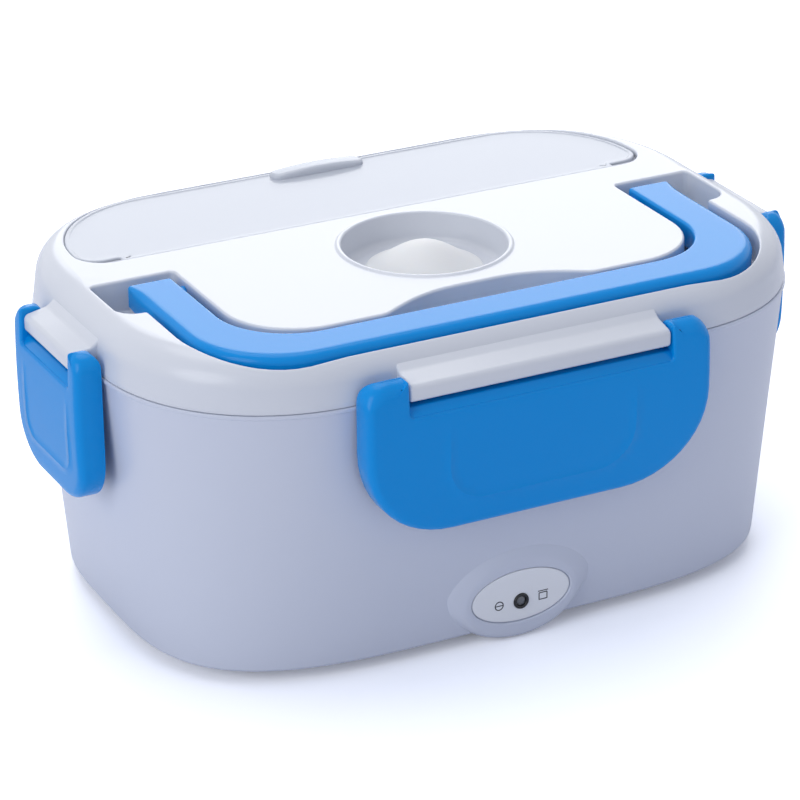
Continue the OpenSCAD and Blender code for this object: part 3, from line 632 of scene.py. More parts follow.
# %% [markdown]
# The lamp sits on a low oval boss that grows out of the tapering wall, and the inlet on a boss at
# the rear. Each is an oval cushion whose flank flares back into the wall, so that hardly any edge
# shows. The small ribs under the rim are what the hooks of the clips go below.

# %% Bosses and ribs
LAMP = (0.0, 14.7)
LAMP_HALF, LAMP_RISE = 16.4, 8.2
BOSS_FACE = half_wide - 3.8


def from_front(u, v, h):
    """Places a front view: u along X, v up and h out of the front."""
    return (u, -h, v)


def from_rear(u, v, h):
    return (-u, h, v)


def lamp_boss():
    """The boss: its flank spreads sideways and upwards, but not below the body's lower edge."""
    shell = Shell(from_front)
    outline = oval(LAMP_HALF + 3.1, LAMP_RISE + 4.8, LAMP, 96)
    spread = 1 + 3.4 * np.clip(outline.normals[:, 1] + 0.75, 0, 1) ** 1.5
    rings = [shell.ring(outline.at(out * spread), BOSS_FACE - drop)
             for out, drop in ((1.6, 9), (1.6, 3.0), (1.0, 1.75), (0.45, 0.8))]
    for out, drop in ((0.0, 0.32), (-0.6, 0.12), (-1.2, 0.03), (-1.8, 0), (-2.1, 0)):
        rings.append(shell.ring(outline.at(out), BOSS_FACE - drop))
    shell.join(rings)
    seat_line = oval(LAMP_HALF + 0.3, LAMP_RISE + 0.3, LAMP, 96)
    seat = shell.carry(seat_line, section([(0.6, BOSS_FACE, 0), (0, BOSS_FACE, 0.4),
                                           (0, BOSS_FACE - 1, 0.1), (-0.4, BOSS_FACE - 1, 0)]))
    shell.fill(rings[-1], [seat[0]])
    shell.fill(seat[-1])
    shell.fill(rings[0])
    return shell


def inlet_boss():
    low, high = span("power_inlet")
    shell = Shell(from_rear)
    half, rise, lip = high[0] + 0.4, (high[2] - low[2]) / 2 + 0.4, 2.4
    middle = (high[2] + low[2]) / 2
    outline = rectangle((-half, middle - rise), (half, middle + rise), rise)
    hole = rectangle((lip - half, middle - rise + lip), (half - lip, middle + rise - lip), rise - lip)
    outer = shell.carry(outline, section([(1.5, BOSS_FACE - 9, 0), (1.5, BOSS_FACE - 2.4, 1),
                                          (0, BOSS_FACE, 1.6), (-1.8, BOSS_FACE, 0)]))
    inner = shell.carry(hole, [(0, BOSS_FACE), (0, BOSS_FACE - 9)])
    shell.fill(outer[-1], [inner[0]])
    shell.fill(outer[0], [inner[-1]])
    return shell


def at_side(angle, reach):
    """Gives a way to place points by (along a side of the box, out of it, height)."""
    c, s = math.cos(math.radians(angle)), math.sin(math.radians(angle))
    return lambda along, out, z: (along * c + (reach + out) * s, along * s - (reach + out) * c, z)


def bar(half, profile, angle, reach, soft):
    """A bar along one side of the box, from its section (distance out, height)."""
    spot = at_side(angle, reach)
    shell = Shell(lambda out, z, along: spot(along, out, z))
    cushion(shell, profile, -half, half, soft, soft, steps=4)
    return shell


HOOK_TOP = seam - 11.1
HOOK_SHARE = 0.55
# Each clip's side of the box, turned from the front: its distance, half width, ear and lower corners.
SIDES = {"front": (0, half_wide, 56.0, 13.2, 28.0), "rear": (180, half_wide, 56.0, 13.2, 28.0),
         "left": (-90, half_long, 24.4, 6.4, 15.0), "right": (90, half_long, 24.4, 6.4, 15.0)}


def ribs():
    shells = []
    for angle, reach, half, ear, _ in SIDES.values():
        profile = rounded([(-2, HOOK_TOP + 0.6, 0.2), (2, HOOK_TOP + 0.6, 0.4), (2, HOOK_TOP + 1.9, 0.6),
                           (-0.6, HOOK_TOP + 3.6, 0.8), (-2, HOOK_TOP + 3.6, 0.2)], turn=30)
        shells.append(bar(HOOK_SHARE * (half - ear) + 3, profile, angle, reach, 0.25))
    return shells


make("body_shell", [body_wall(), body_floor(), lamp_boss(), inlet_boss(), *ribs()],
     "body_white", "base", ["housing"])

# %% [markdown]
# ## Lid
#
# The lid is the piece that took the mould maker most work: a flat deck with a groove and pockets
# for the bail, a finger notch, a round steam well with a raised ring and a compartment for the
# spoon. Seen from above these are three closed outlines in one flat face. Each outline carries a
# section that rounds over the edge, drops down the wall and rounds into the recess's floor.

# %% Outlines of the recesses
LID_FOOT = seam + 0.05
bail_low, bail_high = span("handle")
BAIL_HALF = bail_high[0]
REACH = 67.8
BAR, FRONT_BAR = 14.0, 14.8
BAIL_CORNER, INNER_CORNER = 29.0, 23.0
BAR_GAP, ARM_GAP, ARM_ROOM = 1.5, 2.3, 2.5
ISLAND_CORNER = 23.0
POCKET_HALF = half_long - 8.9
POCKET_BACK = 7.2
POCKET_FRONT = 17.5
NOTCH_HALF, NOTCH_DEEP = 31.0, 9.5


def groove_plan():
    """Bail groove, pockets and finger notch as one outline."""
    out, front = BAIL_HALF + ARM_GAP, -REACH - BAR_GAP
    inner_x, inner_y = BAIL_HALF - BAR - ARM_ROOM, FRONT_BAR + BAR_GAP - REACH
    top = inner_y + NOTCH_DEEP
    return mirrored([(out, front, BAIL_CORNER + BAR_GAP), (out, -POCKET_FRONT, 1.2),
                     (POCKET_HALF, -POCKET_FRONT, 6.4), (POCKET_HALF, POCKET_BACK, 1.6),
                     (inner_x, POCKET_BACK, 1.6), (inner_x, inner_y, ISLAND_CORNER),
                     (NOTCH_HALF + 3, inner_y, 6), (NOTCH_HALF * 0.55, top, 40)], turn=7)


BAY = (22.0, 69.0, 96.5, 44.0, 12.0)


def bay_plan():
    """The spoon compartment: a half moon with its straight side to the front."""
    front, back, half, large, small = BAY
    return rectangle((-half, front), (half, back), small, large, turn=5)


VENT = (0.0, -9.0)
VENT_RADIUS = 25.0
WELL_FLOOR = deck - 9.0
HOLE = 3.0
groove = groove_plan()
print("points round the bail groove:", len(groove))

# %% [markdown]
# The outer skin, the deck and the recesses share their rings, so the lid is one closed skin with a
# hole only where the steam plug's stem goes through. The deck rounds over to the side along a wide
# shoulder. The bail groove and the spoon compartment run so close to the edge that they cut into
# it, so the shoulder's height is worked out for any point of the plan, and the recesses' lips
# follow it.

# %% Lid skin
LEAN = 1.5
GROOVE_FLOOR = deck - 9.8
BAY_FLOOR = span("spoon")[0][2] - GAP
COVER_SEAT = span("spoon_cover")[0][2] - 0.35
LINER_TOP = span("lid_liner")[1][2]
SLOPE = LEAN / (deck - LID_FOOT)
SHOULDER = (8.5, 5.5)


def shoulder(y):
    """Radius of the lid's top edge: wide in front and at the ends, less so at the rear."""
    return np.interp(y, (20, 64), SHOULDER)


def shoulder_point(turn, radius):
    """Distance in from the plan, and drop below the deck, at an angle of the shoulder's rounding."""
    drop = radius * (1 - np.sin(turn))
    return LEAN - SLOPE * drop + radius * (1 - np.cos(turn)), drop


def edge_drop(spots):
    """How far the lid's surface lies below the deck at each spot of its plan."""
    edge = plan.spaced(1.0).points
    depth = np.linalg.norm(spots[:, None] - edge[None], axis=2).min(axis=1)
    turns = np.linspace(0, math.pi / 2, 60)
    return np.array([np.interp(d, *shoulder_point(turns, shoulder(y))) for d, (_, y) in zip(depth, spots)])


def shoulder_ends(*recesses):
    """The angle at which the rounding ends: sooner where a recess comes close."""
    edges = [Outline(line.at(grow), line.normals).spaced(1.0).points for line, grow in recesses]
    near = np.linalg.norm(plan.points[:, None] - np.concatenate(edges)[None], axis=2).min(axis=1)
    room = near - LEAN - 0.5
    radius = shoulder(plan.points[:, 1])
    wanted = np.minimum(room, radius)
    wanted = np.minimum(smooth_round(wanted, 3), wanted)
    return np.arccos(1 - np.clip(wanted / radius, 0, 1))


def smooth_round(values, passes):
    """Evens out a list of numbers that runs round a closed outline."""
    values = np.array(values, float)
    for _ in range(passes):
        values = (values + np.roll(values, 1) + np.roll(values, -1)) / 3
    return values


def lid_side(shell, ends):
    """The lid's outer side: lip, leaning wall and rounded shoulder."""
    rings = shell.carry(plan, section([(-WALL, LINER_TOP, 0), (-WALL, LID_FOOT, 0.4), (0, LID_FOOT, 0.25),
                                       (0.05, LID_FOOT + 1.6, 1.2), (-0.15, LID_FOOT + 3.2, 0)]))
    radius = shoulder(plan.points[:, 1])
    for share in np.linspace(0, 1, 11):
        depth, drop = shoulder_point(ends * share, radius)
        rings.append(shell.ring(plan.at(-depth), deck - drop))
    depth += 0.2
    flat = plan.at(-depth)
    rings.append(shell.ring(flat, deck - edge_drop(flat)))
    shell.join(rings[-13:])
    return rings


def dig(shell, outline, profile, floor):
    """Carries a recess's section round its outline, with its lip on the lid's surface."""
    rings = []
    for out, height in profile:
        flat = outline.at(out)
        share = min(max((height - floor) / (deck - floor), 0), 1)
        rings.append(shell.ring(flat, height - share * edge_drop(flat)))
    shell.join(rings)
    return rings


def lid_skin():
    shell = Shell()
    groove_wall = [(1.0, deck, 0), (0, deck, 0.85), (-0.25, GROOVE_FLOOR, 1.0), (-1.6, GROOVE_FLOOR, 0)]
    bay_wall = [(0.8, deck, 0), (0, deck, 0.6), (0, COVER_SEAT, 0.25), (-2.2, COVER_SEAT, 0.4),
                (-2.4, BAY_FLOOR, 1.0), (-4.4, BAY_FLOOR, 0)]
    well_wall = [(3.2, deck, 0), (2.0, deck, 0.9), (1.2, deck + 0.6, 0.9), (0.1, deck + 0.6, 0.7),
                 (-0.5, WELL_FLOOR, 2.2), (-4.0, WELL_FLOOR, 0)]
    stem_wall = [(1.0, WELL_FLOOR, 0), (0, WELL_FLOOR, 0.3), (0, LINER_TOP, 0)]
    dug = dig(shell, groove, section(groove_wall, turn=15), GROOVE_FLOOR)
    bay = dig(shell, bay_plan(), section(bay_wall), COVER_SEAT)
    well = shell.carry(oval(VENT_RADIUS, VENT_RADIUS, VENT, 96), section(well_wall, turn=12))
    stem = shell.carry(oval(HOLE, HOLE, VENT, 96), section(stem_wall))
    ends = shoulder_ends((groove, 1.0), (bay_plan(), 0.8))
    skin = lid_side(shell, ends)
    shell.fill(skin[-1], [dug[0], bay[0], well[0]])
    shell.fill(dug[-1])
    shell.fill(bay[-1])
    shell.fill(well[-1], [stem[0]])
    shell.fill(skin[0], [stem[-1]])
    print("the shoulder turns through", *np.degrees([min(ends), max(ends)]).round(), "degrees")
    return shell


# %% [markdown]
# Four tabs reach out from the lid's side and carry the clips on short pins. In section a tab
# leaves the side in a hollow curve and ends in a round nose.

# %% Hinge tabs
PIN_OUT = 5.0
PIN_HEIGHT = seam + 3.8


def hinge_tabs():
    shells = []
    for angle, reach, half, ear, _ in SIDES.values():
        tab = half - ear - 0.5
        profile = rounded([(-4.2, PIN_HEIGHT - 2.8, 0.3), (8.1, PIN_HEIGHT - 2.8, 1.4),
                           (8.1, PIN_HEIGHT + 2.4, 1.9), (0.9, PIN_HEIGHT + 3.9, 2.8),
                           (-1.9, deck - 5.4, 0.3), (-4.2, deck - 5.4, 0.3)], turn=14, spacing=6)
        shells.append(bar(tab, profile, angle, reach, 0.8))
        pin = oval(1.9, 1.9, (PIN_OUT, PIN_HEIGHT), 32)
        shells.append(bar(tab + 0.45, pin, angle, reach, 0.2))
    return shells


make("lid_skin", [lid_skin(), *hinge_tabs()], "lid_white", "lid", ["lid_shell"])

# %% [markdown]
# ## Clips
#
# A clip is a curved shield with two ears that hang on the lid's pins. Its front view is one
# outline with a gap between the ears. The face bulges gently, so the height of each point comes
# from a circle, and the fillet round the face is wide on the ears' tops and tight in the gap.
# Behind, the clip is hollow, with a hook that goes under the rib of the body's rim.

# %% Clips
LOWER = {"front": 0.0, "rear": 0.0, "left": 0.4, "right": 0.4}
CLIP_BOTTOM = {side: span(f"{side}_latch")[0][2] - LOWER[side] for side in SIDES}
EAR = PIN_OUT - 3 * GAP
CLIP_TOP = PIN_HEIGHT + EAR
RIDGE = seam - 3.1
CLIP_BACK = BEAD + 0.4
FACE_RADIUS = {"front": 170.0, "rear": 170.0, "left": 420.0, "right": 420.0}
FACE_MIDDLE = seam - 11.6
CLIP_DEPTH = 9.3


def face_at(z, side="front"):
    """How far a clip's face stands out from the body at a height."""
    radius = FACE_RADIUS[side]
    return CLIP_DEPTH - radius + math.sqrt(radius ** 2 - (z - FACE_MIDDLE) ** 2)


def back_at(z):
    """The back of a clip: flat below, and round the pin at the top of its ears."""
    if z < seam + 0.6:
        return CLIP_BACK
    if z < PIN_HEIGHT:
        share = (z - seam - 0.6) / (PIN_HEIGHT - seam - 0.6)
        return CLIP_BACK + (PIN_OUT - EAR - CLIP_BACK) * share
    return PIN_OUT - math.sqrt(max(EAR ** 2 - (z - PIN_HEIGHT) ** 2, 0.6))


def clip_shell(side):
    angle, reach, half, ear, corner = SIDES[side]
    bottom, tab, soft_ear = CLIP_BOTTOM[side], half - ear, min(6.5, ear - 1.4)
    spot = at_side(angle, reach)

    def face(x, z):
        return face_at(z, side)

    outline = rounded([(-half, bottom, corner), (half, bottom, corner), (half, CLIP_TOP, soft_ear),
                       (tab, CLIP_TOP, 1.0), (tab, RIDGE, 1.4), (-tab, RIDGE, 1.4), (-tab, CLIP_TOP, 1.0),
                       (-half, CLIP_TOP, soft_ear)], turn=8, spacing=1.6)
    fillet = []
    for (x, z), normal in zip(outline.points, outline.normals):
        between = abs(x) < tab + 0.7 and z > RIDGE - 1
        on_top = z > RIDGE + 3 and normal[1] > 0.2 and abs(x) > tab + 0.7
        fillet.append(0.9 if between else min(4.2, soft_ear * 0.64) if on_top else 2.4)
    fillet = smooth_round(fillet, 3)
    shell = Shell(lambda x, z, out: spot(x, out, z))
    rings = []
    for turn in np.linspace(0, 90, 7):
        sink = fillet * (1 - math.cos(math.radians(turn)))
        flat = outline.at(-fillet * (1 - math.sin(math.radians(turn))))
        rings.append(shell.ring(flat, [face_at(z, side) - d for (_, z), d in zip(flat, sink)]))
    for rise, shrink in ((0.4, 0.0), (0.12, 0.12), (0.0, 0.4), (0.0, 0.9)):
        rings.append(shell.ring(outline.at(-shrink), lambda x, z: back_at(z) + rise))
    shell.join(rings)
    line = raised_line(shell, side, tab, bottom, corner)
    shell.fill(rings[0], [line[0]], height=face, spacing=2.5)
    shell.fill(line[-1], height=face, spacing=2.5)
    pit = rectangle((WALL - half, bottom + WALL), (half - WALL, RIDGE - WALL), corner - WALL, 2.5,
                    turn=10, spacing=3)
    hollow = [shell.ring(pit.at(0.0), CLIP_BACK)]
    for shrink, rise in ((0.3, -1.0), (1.0, 0.0), (1.6, 0.0)):
        hollow.append(shell.ring(pit.at(-shrink), lambda x, z: face_at(z, side) - WALL + rise))
    shell.join(hollow)
    shell.fill(rings[-1], [hollow[0]])
    shell.fill(hollow[-1], height=lambda x, z: face_at(z, side) - WALL, spacing=5)
    return shell


def raised_line(shell, side, tab, bottom, corner):
    """A fine bead on the face that follows the clip's edge and dies out towards the top."""
    wide, low, high = tab * (0.72 if tab > 30 else 0.94), bottom + 9, RIDGE - 2.5
    panel = rectangle((-wide, low), (wide, high), corner * 0.45, 4, turn=8, spacing=2.5)

    def fade(z):
        return min(max((high - 1 - z) / 12, 0), 1)

    line = []
    for out, rise in ((0, 0), (-0.2, 0.1), (-0.45, 0.16), (-0.7, 0.1), (-0.9, 0)):
        line.append(shell.ring(panel.at(out), lambda x, z: face_at(z, side) + rise * fade(z)))
    shell.join(line)
    return line


def web(angle, reach, tab):
    """Closes the clip's back behind its ridge, below the tab."""
    top = PIN_HEIGHT - EAR - GAP
    profile = rounded([(CLIP_BACK + 0.6, RIDGE - 1, 0.1), (face_at(RIDGE) - 0.6, RIDGE - 1, 0.1),
                       (face_at(RIDGE) - 0.6, RIDGE + 0.1, 0.1), (PIN_OUT + 1.8, top, 0.8),
                       (CLIP_BACK + 0.6, top, 0.4)], turn=15)
    return bar(tab + 0.6, profile, angle, reach, 0.05)


def hook(angle, reach, tab):
    """The hook that goes below the rib of the body's rim."""
    profile = rounded([(2.3, HOOK_TOP - 1, 0.3), (face_at(HOOK_TOP - 4) - 1.6, HOOK_TOP - 4, 0.3),
                       (face_at(HOOK_TOP) - 1.6, HOOK_TOP, 0.3), (2.3, HOOK_TOP, 0.3)], turn=30)
    return bar(HOOK_SHARE * tab, profile, angle, reach, 0.4)


for side, (angle, reach, half, ear, corner) in SIDES.items():
    shells = [clip_shell(side), web(angle, reach, half - ear), hook(angle, reach, half - ear)]
    make(f"{side}_clip_shield", shells, "clip_blue", f"{side}_clip", [f"{side}_latch"])

# %% [markdown]
# ## Bail handle
#
# The bail is a flat U with a rounded-rectangle section. Its outline is drawn once, and the
# cushion routine gives it its soft edges. The ends of the arms are cut away underneath, which is
# what lets them turn up in their pockets.

# %% Bail
PIVOT = (-1.5, deck - 4)
OUTER_SOFT, INNER_SOFT = 2.8, 1.0


def bail_shell():
    end = bail_high[1]
    cut_from = bail_low[2] - 1
    inner, inner_y = BAIL_HALF - BAR, FRONT_BAR - REACH
    outline = rounded([(-BAIL_HALF, -REACH, BAIL_CORNER), (BAIL_HALF, -REACH, BAIL_CORNER),
                       (BAIL_HALF, end, 1.2), (inner, end, 1.2), (inner, inner_y, INNER_CORNER),
                       (-inner, inner_y, INNER_CORNER), (-inner, end, 1.2), (-BAIL_HALF, end, 1.2)],
                      turn=6, spacing=6)
    outwards = (outline.points * outline.normals).sum(axis=1) > 0
    outwards &= outline.normals[:, 1] < 0.1
    soft = smooth_round(np.where(outwards, OUTER_SOFT, INNER_SOFT), 2)
    soft[outline.points[:, 1] > end - 3] = INNER_SOFT

    def place(x, y, z):
        return (x, y, max(z, cut_from + (y - end + 4)))

    shell = Shell(place)
    cushion(shell, outline, bail_low[2], bail_high[2], 1.6, soft, steps=7)
    return shell


def round_pin(side, centre, radius, start, end, soft, count=32):
    """A pin along X on the left (-1) or right (1), from one distance to another."""
    shell = Shell(lambda y, z, x: (side * x, y, z))
    cushion(shell, oval(radius, radius, centre, count), start, end, soft, soft)
    return shell


arm = BAIL_HALF - BAR
pegs = [round_pin(side, PIVOT, 2.2, arm - ARM_ROOM + 0.1, arm + 1, 0.2) for side in (1, -1)]
make("bail_handle", [bail_shell(), *pegs], "clip_blue", "bail", ["handle"])

# %% [markdown]
# ## Steam plug
#
# The plug is a soft bell: a flat brim, a long concave flank and a round top. It is a shape of
# revolution, so it comes from a half section: every point of it becomes one ring.

# %% Turned pieces
def turned(shell, profile, centre=(0, 0), count=64):
    """A solid of revolution about a vertical axis, from its half section."""
    line = oval(1.0, 1.0, centre, count)
    rings = [shell.ring(line.at(radius - 1.0), height) for radius, height in profile]
    shell.join(rings)
    shell.fill(rings[0])
    shell.fill(rings[-1])
    return shell


def plug_profile():
    low, high = span("vent_plug")
    brim = WELL_FLOOR + GAP
    shoulder = brim + 1.7
    bell = [(HOLE - GAP, low[2]), (HOLE - GAP, brim - 0.2), (3.4, brim), (16.8, brim), (17.6, brim + 0.3),
            (18.0, brim + 0.9), (17.7, brim + 1.4)]
    for k in range(25):
        radius = 17.0 * (1 - k / 24) + 0.02
        share = (1 + math.cos(math.pi * radius / 17.0)) / 2
        bell.append((radius, shoulder + (high[2] - shoulder) * share ** 0.62))
    return bell


make("steam_plug", turned(Shell(), plug_profile(), VENT, 72), "silicone", "plug", ["vent_plug"])

# %% [markdown]
# ## Spoon cover
#
# The cover is a thin half moon with a fine raised rim, hinged along its straight side. A low tab
# at its back edge is what the finger lifts.

# %% Spoon cover
COVER_THICK, COVER_RIM = 1.2, 1.45
TAB_HALF = 16.0


def cover_shell():
    base = span("spoon_cover")[0][2]
    front, back, half, large, small = BAY
    # The corners beside the hinge are cut back, so that the open cover clears the recess's corners.
    side, edge, free, step = half - GAP, front + 0.6, half - small - GAP, front + 3.4
    outline = mirrored([(free, edge, 0.3), (free, step, 0.3), (side, step, 9),
                        (side, back - GAP, large - GAP)], turn=5)
    shell = Shell()
    rim = [(-1.5, base, 0), (0, base, 0.5), (0, base + COVER_RIM, 0.5), (-1.3, base + COVER_RIM, 0.3),
           (-1.75, base + COVER_THICK, 0.3), (-3.5, base + COVER_THICK, 0)]
    rings = shell.carry(outline, section(rim, turn=25))
    shell.fill(rings[0])
    shell.fill(rings[-1])
    return shell


def cover_tab():
    """A low arched tab for a finger at the back of the cover."""
    low, high = span("spoon_cover")
    back, base = high[1] - 0.4, low[2] + 0.8
    shell = Shell(lambda x, y, z: (x, y, base + (z - base) * (1 - 0.35 * (x / TAB_HALF) ** 2)))
    outline = rectangle((-TAB_HALF, back - 6.4), (TAB_HALF, back), 3.1, turn=10, spacing=2.5)
    cushion(shell, outline, base, high[2], 0.2, 1.4)
    return shell


low, high = span("spoon_cover")
hinge = (BAY[0] + 1.2, low[2] + 0.8)
pins = [round_pin(side, hinge, 0.7, 80.0, high[0], 0.15, 20) for side in (1, -1)]
make("spoon_lid", [cover_shell(), cover_tab(), *pins], "cover_milky", "cover", ["spoon_cover"])

# %% [markdown]
# ## Lamp
#
# A grey oval plate lies in the boss. A black ring round the lens and two small marks are all that
# is on it; the rest stays bare.

# %% Lamp plate, ring and lens
EYE = (LAMP[0], LAMP[1] - 1.9)
RING, LENS = 2.5, 1.6
LAMP_FACE = BOSS_FACE - 0.25


def lamp_plate_shell():
    shell = Shell(from_front)
    edge = [(-0.6, BOSS_FACE - 1, 0), (0, BOSS_FACE - 1, 0.1), (0, LAMP_FACE, 0.35), (-1.1, LAMP_FACE, 0)]
    outer = shell.carry(oval(LAMP_HALF, LAMP_RISE, LAMP, 96), section(edge))
    hole = shell.carry(oval(RING, RING, EYE, 48),
                       [(0, BOSS_FACE - 1), (0, LAMP_FACE - 0.1), (0.1, LAMP_FACE), (0.3, LAMP_FACE)])
    shell.fill(outer[0], [hole[0]])
    shell.fill(outer[-1], [hole[-1]])
    return shell


def lamp_ring_shell():
    shell = Shell(from_front)
    low, high = BOSS_FACE - 4, BOSS_FACE + 0.25
    profile = rounded([(LENS - RING, low, 0.05), (0, low, 0.05), (0, high, 0.35), (LENS - RING, high, 0.4)],
                      turn=20)
    shell.carry(oval(RING, RING, EYE, 48), profile.points, closed=True)
    return shell


def lens_shell():
    dome = [(LENS * math.cos(a), BOSS_FACE - 0.6 + 0.55 * math.sin(a)) for a in np.linspace(0, 1.5, 7)]
    return turned(Shell(from_front), [(LENS, BOSS_FACE - 4), *dome], EYE, 48)


make("lamp_face", lamp_plate_shell(), "lamp_grey", "base", ["lamp_plate"])
make("lamp_ring", lamp_ring_shell(), "black_plastic", "base", ["lamp_bezel"])
make("lamp_eye", lens_shell(), "lens", "base", ["lamp_lens"])

# %% Lamp marks
MARK_AT = 7.4
LINE = 0.32
INK = (LAMP_FACE - 0.05, LAMP_FACE + 0.03)


def printed(outline, width):
    """A thin printed line along a closed outline on the lamp's plate."""
    shell = Shell(from_front)
    shell.carry(outline, [(0, INK[0]), (0, INK[1]), (-width, INK[1]), (-width, INK[0])], closed=True)
    return shell


def printed_bar(x, z, half, width):
    shell = Shell(from_front)
    cushion(shell, rectangle((x - half, z - width / 2), (x + half, z + width / 2), 0.05), *INK, 0.01, 0.01)
    return shell


box_mark = rectangle((MARK_AT - 1.5, EYE[1] - 1.2), (MARK_AT + 1.5, EYE[1] + 1.3), 0.25)
marks = [printed(oval(1.5, 1.5, (-MARK_AT, EYE[1]), 32), LINE), printed_bar(-MARK_AT, EYE[1], 1.3, LINE),
         printed(box_mark, LINE), printed_bar(MARK_AT, EYE[1] + 1.75, 1.7, 0.3)]
make("lamp_marks", marks, "black_plastic", "base")

# %% [markdown]
# ## Bottom plate, feet and screws
#
# The feet and the screws repeat, so one of each is made and a Geometry Nodes tree sets it at the
# corners of a rectangle. The tree takes the two spreads as named inputs, which are read off the
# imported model. Its result is made real, because an exported model has no instances.

# %% A tree that sets copies at the corners of a rectangle
def corner_tree():
    """Builds the tree and gives it back with the identifiers of its inputs."""
    tree = bpy.data.node_groups.new("set_at_corners", "GeometryNodeTree")
    names = {}
    for key, name, kind in (("along", "Spread along X", "Float"), ("across", "Spread along Y", "Float"),
                            ("columns", "Columns", "Int"), ("pattern", "Pattern", "Object"),
                            ("finish", "Finish", "Material")):
        socket = tree.interface.new_socket(name, in_out="INPUT", socket_type="NodeSocket" + kind)
        names[key] = socket.identifier
    tree.interface.new_socket("Mesh", in_out="OUTPUT", socket_type="NodeSocketGeometry")
    given, result, grid, copies, pattern, real, paint = [tree.nodes.new(kind) for kind in (
        "NodeGroupInput", "NodeGroupOutput", "GeometryNodeMeshGrid", "GeometryNodeInstanceOnPoints",
        "GeometryNodeObjectInfo", "GeometryNodeRealizeInstances", "GeometryNodeSetMaterial")]
    grid.inputs["Vertices Y"].default_value = 2
    for source, output, target, socket in (
            (given, "Spread along X", grid, "Size X"), (given, "Spread along Y", grid, "Size Y"),
            (given, "Columns", grid, "Vertices X"), (grid, "Mesh", copies, "Points"),
            (given, "Pattern", pattern, "Object"), (pattern, "Geometry", copies, "Instance"),
            (copies, "Instances", real, "Geometry"), (real, "Geometry", paint, "Geometry"),
            (given, "Finish", paint, "Material"), (paint, "Geometry", result, "Mesh")):
        tree.links.new(source.outputs[output], target.inputs[socket])
    return tree, names


CORNERS, CORNER_INPUTS = corner_tree()


def at_corners(name, profile, node, radius, slot, columns=2, count=40):
    """A turned piece, set at the corners that its CAD node spans, as one plain mesh."""
    low, high = span(node)
    pattern = stand(name + "_pattern", mesh_of(name + "_pattern", turned(Shell(), profile, count=count))[0])
    thing = stand(name, bpy.data.meshes.new(name + "_empty"))
    modifier = thing.modifiers.new("corners", "NODES")
    modifier.node_group = CORNERS
    given = {"along": 2 * (high[0] - radius) * MM, "across": 2 * (high[1] - radius) * MM, "columns": columns,
             "pattern": pattern, "finish": FINISHES[slot]}
    for key, value in given.items():
        modifier[CORNER_INPUTS[key]] = value
    view = bpy.context.evaluated_depsgraph_get()
    mesh = bpy.data.meshes.new_from_object(thing.evaluated_get(view))
    thing.modifiers.remove(modifier)
    thing.data = mesh
    bpy.data.objects.remove(pattern)
    place_piece(thing, slot, "base", [node], f"{columns * 2} copies")


# %% Bottom plate, feet and screws
FOOT, STEM = 6.5, 2.0
SCREW, PIT, CUP = 3.0, 3.4, 5.0


def foot_profile():
    low, high = span("feet")
    top = span("base_cover")[0][2]
    return [(4.6, low[2] + 0.5), (4.9, low[2]), (5.5, low[2]), (6.0, low[2] + 0.5), (FOOT, top),
            (STEM, top), (STEM, high[2])]


def screw_profile(node, head=1.8):
    """A pan head with a round recess, and a plain shank."""
    z, end = (corner[2] for corner in span(node))
    return [(0.9, z + 1.0), (1.1, z), (2.3, z), (2.85, z + 0.35), (SCREW, z + 0.9), (SCREW, z + head),
            (1.5, z + head), (1.5, end - 0.3), (1.2, end)]


def base_plate():
    """The bottom plate: cups for the screws' heads, and holes for the stems of the feet."""
    shell = Shell()
    low, high = span("base_cover")
    top = low[2] + WALL
    side = wall_at(foot_line) - 2.5
    edge = [shell.ring(body_line(side - cut, z), z)
            for cut, z in ((0.4, low[2]), (0.12, low[2] + 0.12), (0, low[2] + 0.4), (0, top))]
    shell.join(edge)
    x, y = span("base_screws")[1][:2] - SCREW
    below, above = [], []
    for spot in four(x, y):
        pit = shell.carry(oval(PIT, PIT, spot, 32), [(0, low[2]), (0, high[2] - 1.6)])
        cup = shell.carry(oval(CUP, CUP, spot, 32), [(0, top), (0, high[2])])
        shell.fill(pit[-1])
        shell.fill(cup[-1])
        below.append(pit[0])
        above.append(cup[0])
    x, y = span("feet")[1][:2] - FOOT
    for spot in four(x, y):
        hole = shell.carry(oval(STEM, STEM, spot, 24), [(0, low[2]), (0, top)])
        below.append(hole[0])
        above.append(hole[-1])
    shell.fill(edge[0], below)
    shell.fill(edge[-1], above)
    return shell


make("base_plate", base_plate(), "body_white", "base", ["base_cover"])
at_corners("rubber_feet", foot_profile(), "feet", FOOT, "foot_rubber", count=48)
at_corners("cover_screws", screw_profile("base_screws"), "base_screws", SCREW, "screw_steel", count=32)
at_corners("grip_screws", screw_profile("clamp_screws"), "clamp_screws", SCREW, "screw_steel", 1, count=32)

# %% [markdown]
# ## Pieces that keep their CAD shape
#
# The spoon, the panel under the lid, the seals, the bowls and everything in the heater compartment
# already have their true shape, so they only get a finish.

# %% Finish the CAD nodes
dressed = 0
for thing in frame["nodes"].values():
    for place in thing.material_slots:
        name = place.material.name.split(".")[0]
        if name in FINISHES and place.material != FINISHES[name]:
            place.material = FINISHES[name]
            dressed += 1
print("CAD material slots given a finish:", dressed)

# %% [markdown]
# ## Floor, light and camera
#
# The floor is plain and pale. For the camera it is lifted to white, which
# keeps the soft shadow. A wide lamp overhead gives the top its brightness, a second one stands
# where the top faces mirror it, behind the box and to the right, and puts a sheen on the handle.
# A third lights the left end, and the pale sky of the studio fills the shaded front.

# %% Floor and sky
AIM = Vector((0, 0, 0.05))
WHITE = (1, 1, 1, 1)
SKY = (0.385, 0.41, 0.49, 1)
LIFT, GLOW, GLOW_SHARE = (1.6, 1.6, 1.6, 1), 1.2, 0.08


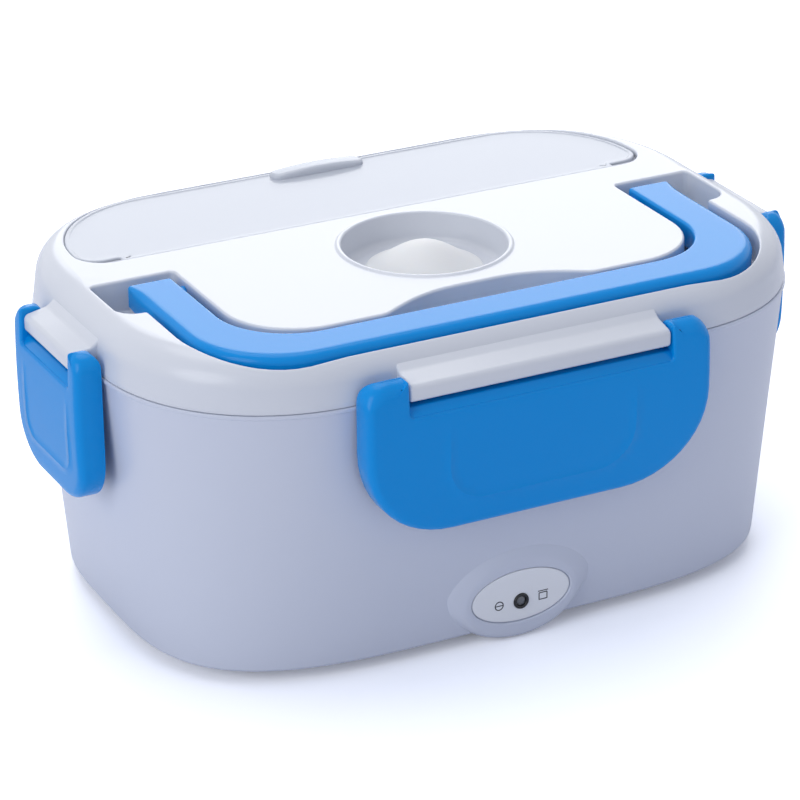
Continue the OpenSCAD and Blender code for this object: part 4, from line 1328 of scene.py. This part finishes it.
def stage_floor():
    bpy.ops.mesh.primitive_plane_add(size=14, location=(0, 0, 0))
    floor = bpy.context.object
    floor.name = "studio_floor"
    material = bpy.data.materials.new("floor")
    material.use_nodes = True
    nodes = Nodes(material.node_tree)
    nodes.tree.nodes.clear()
    seen = nodes.node("ShaderNodeLightPath", output="Is Camera Ray")
    tint = nodes.blend(seen, ink(244, 245, 250), LIFT)
    paper = nodes.node("ShaderNodeBsdfDiffuse", {}, {"Color": tint})
    glow = nodes.node("ShaderNodeEmission", {}, {"Color": WHITE, "Strength": GLOW})
    surface = nodes.node("ShaderNodeMixShader", {}, (seen * GLOW_SHARE, paper, glow))
    nodes.node("ShaderNodeOutputMaterial", {}, {"Surface": surface})
    floor.data.materials.append(material)


def studio_sky():
    """A pale sky that lights softly, and is white where it is seen or mirrored."""
    world = bpy.data.worlds.new("studio")
    bpy.context.scene.world = world
    world.use_nodes = True
    nodes = Nodes(world.node_tree)
    camera = nodes.node("ShaderNodeLightPath", output="Is Camera Ray")
    mirrored = Wire(nodes, camera.socket.node.outputs["Is Glossy Ray"])
    seen = camera.maths("MAXIMUM", camera, mirrored)
    nodes.feed(nodes.tree.nodes["Background"].inputs["Color"], nodes.blend(seen, SKY, WHITE))


def soft_lamp(name, place, size, watts, colour):
    """A round lamp that points at the box."""
    data = bpy.data.lights.new(name, "AREA")
    data.shape, data.size, data.energy, data.color = "DISK", size, watts, colour
    lamp = stand(name, data)
    lamp.location = place
    lamp.rotation_euler = (AIM - Vector(place)).to_track_quat("-Z", "Y").to_euler()


stage_floor()
studio_sky()
soft_lamp("key", (0.05, 0.45, 1.82), 1.6, 12.2, (1.0, 0.99, 0.97))
soft_lamp("window", (1.1, 2.15, 1.15), 1.9, 17.5, (0.95, 0.97, 1.0))
soft_lamp("left", (-1.9, -0.7, 1.0), 1.4, 12.5, (0.98, 0.99, 1.0))
bpy.context.scene.view_settings.view_transform = "Standard"

# %% [markdown]
# The camera stands where the photographer stood: to the left of the front, a little above the box
# and about a metre away, with a long lens. Its place was found from the lid's outline, the seam
# and the handle.

# %% Camera
AZIMUTH, ELEVATION, ROLL = -27.12, 24.32, -0.42
DISTANCE = 1.06807
FOCAL_PIXELS = 3469.7
AIM_PIXEL = (411.93, 400.36)
FRAME_PIXELS = 800


def photographer():
    data = bpy.data.cameras.new("photo camera")
    data.sensor_width = 36.0
    data.lens = FOCAL_PIXELS / FRAME_PIXELS * data.sensor_width
    data.shift_x = (FRAME_PIXELS / 2 - AIM_PIXEL[0]) / FRAME_PIXELS
    data.shift_y = (AIM_PIXEL[1] - FRAME_PIXELS / 2) / FRAME_PIXELS
    camera = stand("photo camera", data)
    a, e = math.radians(AZIMUTH), math.radians(ELEVATION)
    back = Vector((math.sin(a) * math.cos(e), -math.cos(a) * math.cos(e), math.sin(e)))
    camera.location = AIM + back * DISTANCE
    turn = back.to_track_quat("Z", "Y").to_matrix().to_4x4()
    camera.rotation_euler = turn.to_euler()
    camera.rotation_euler.rotate_axis("Z", math.radians(ROLL))
    bpy.context.scene.camera = camera
    print("lens", round(data.lens, 2), "mm")


photographer()
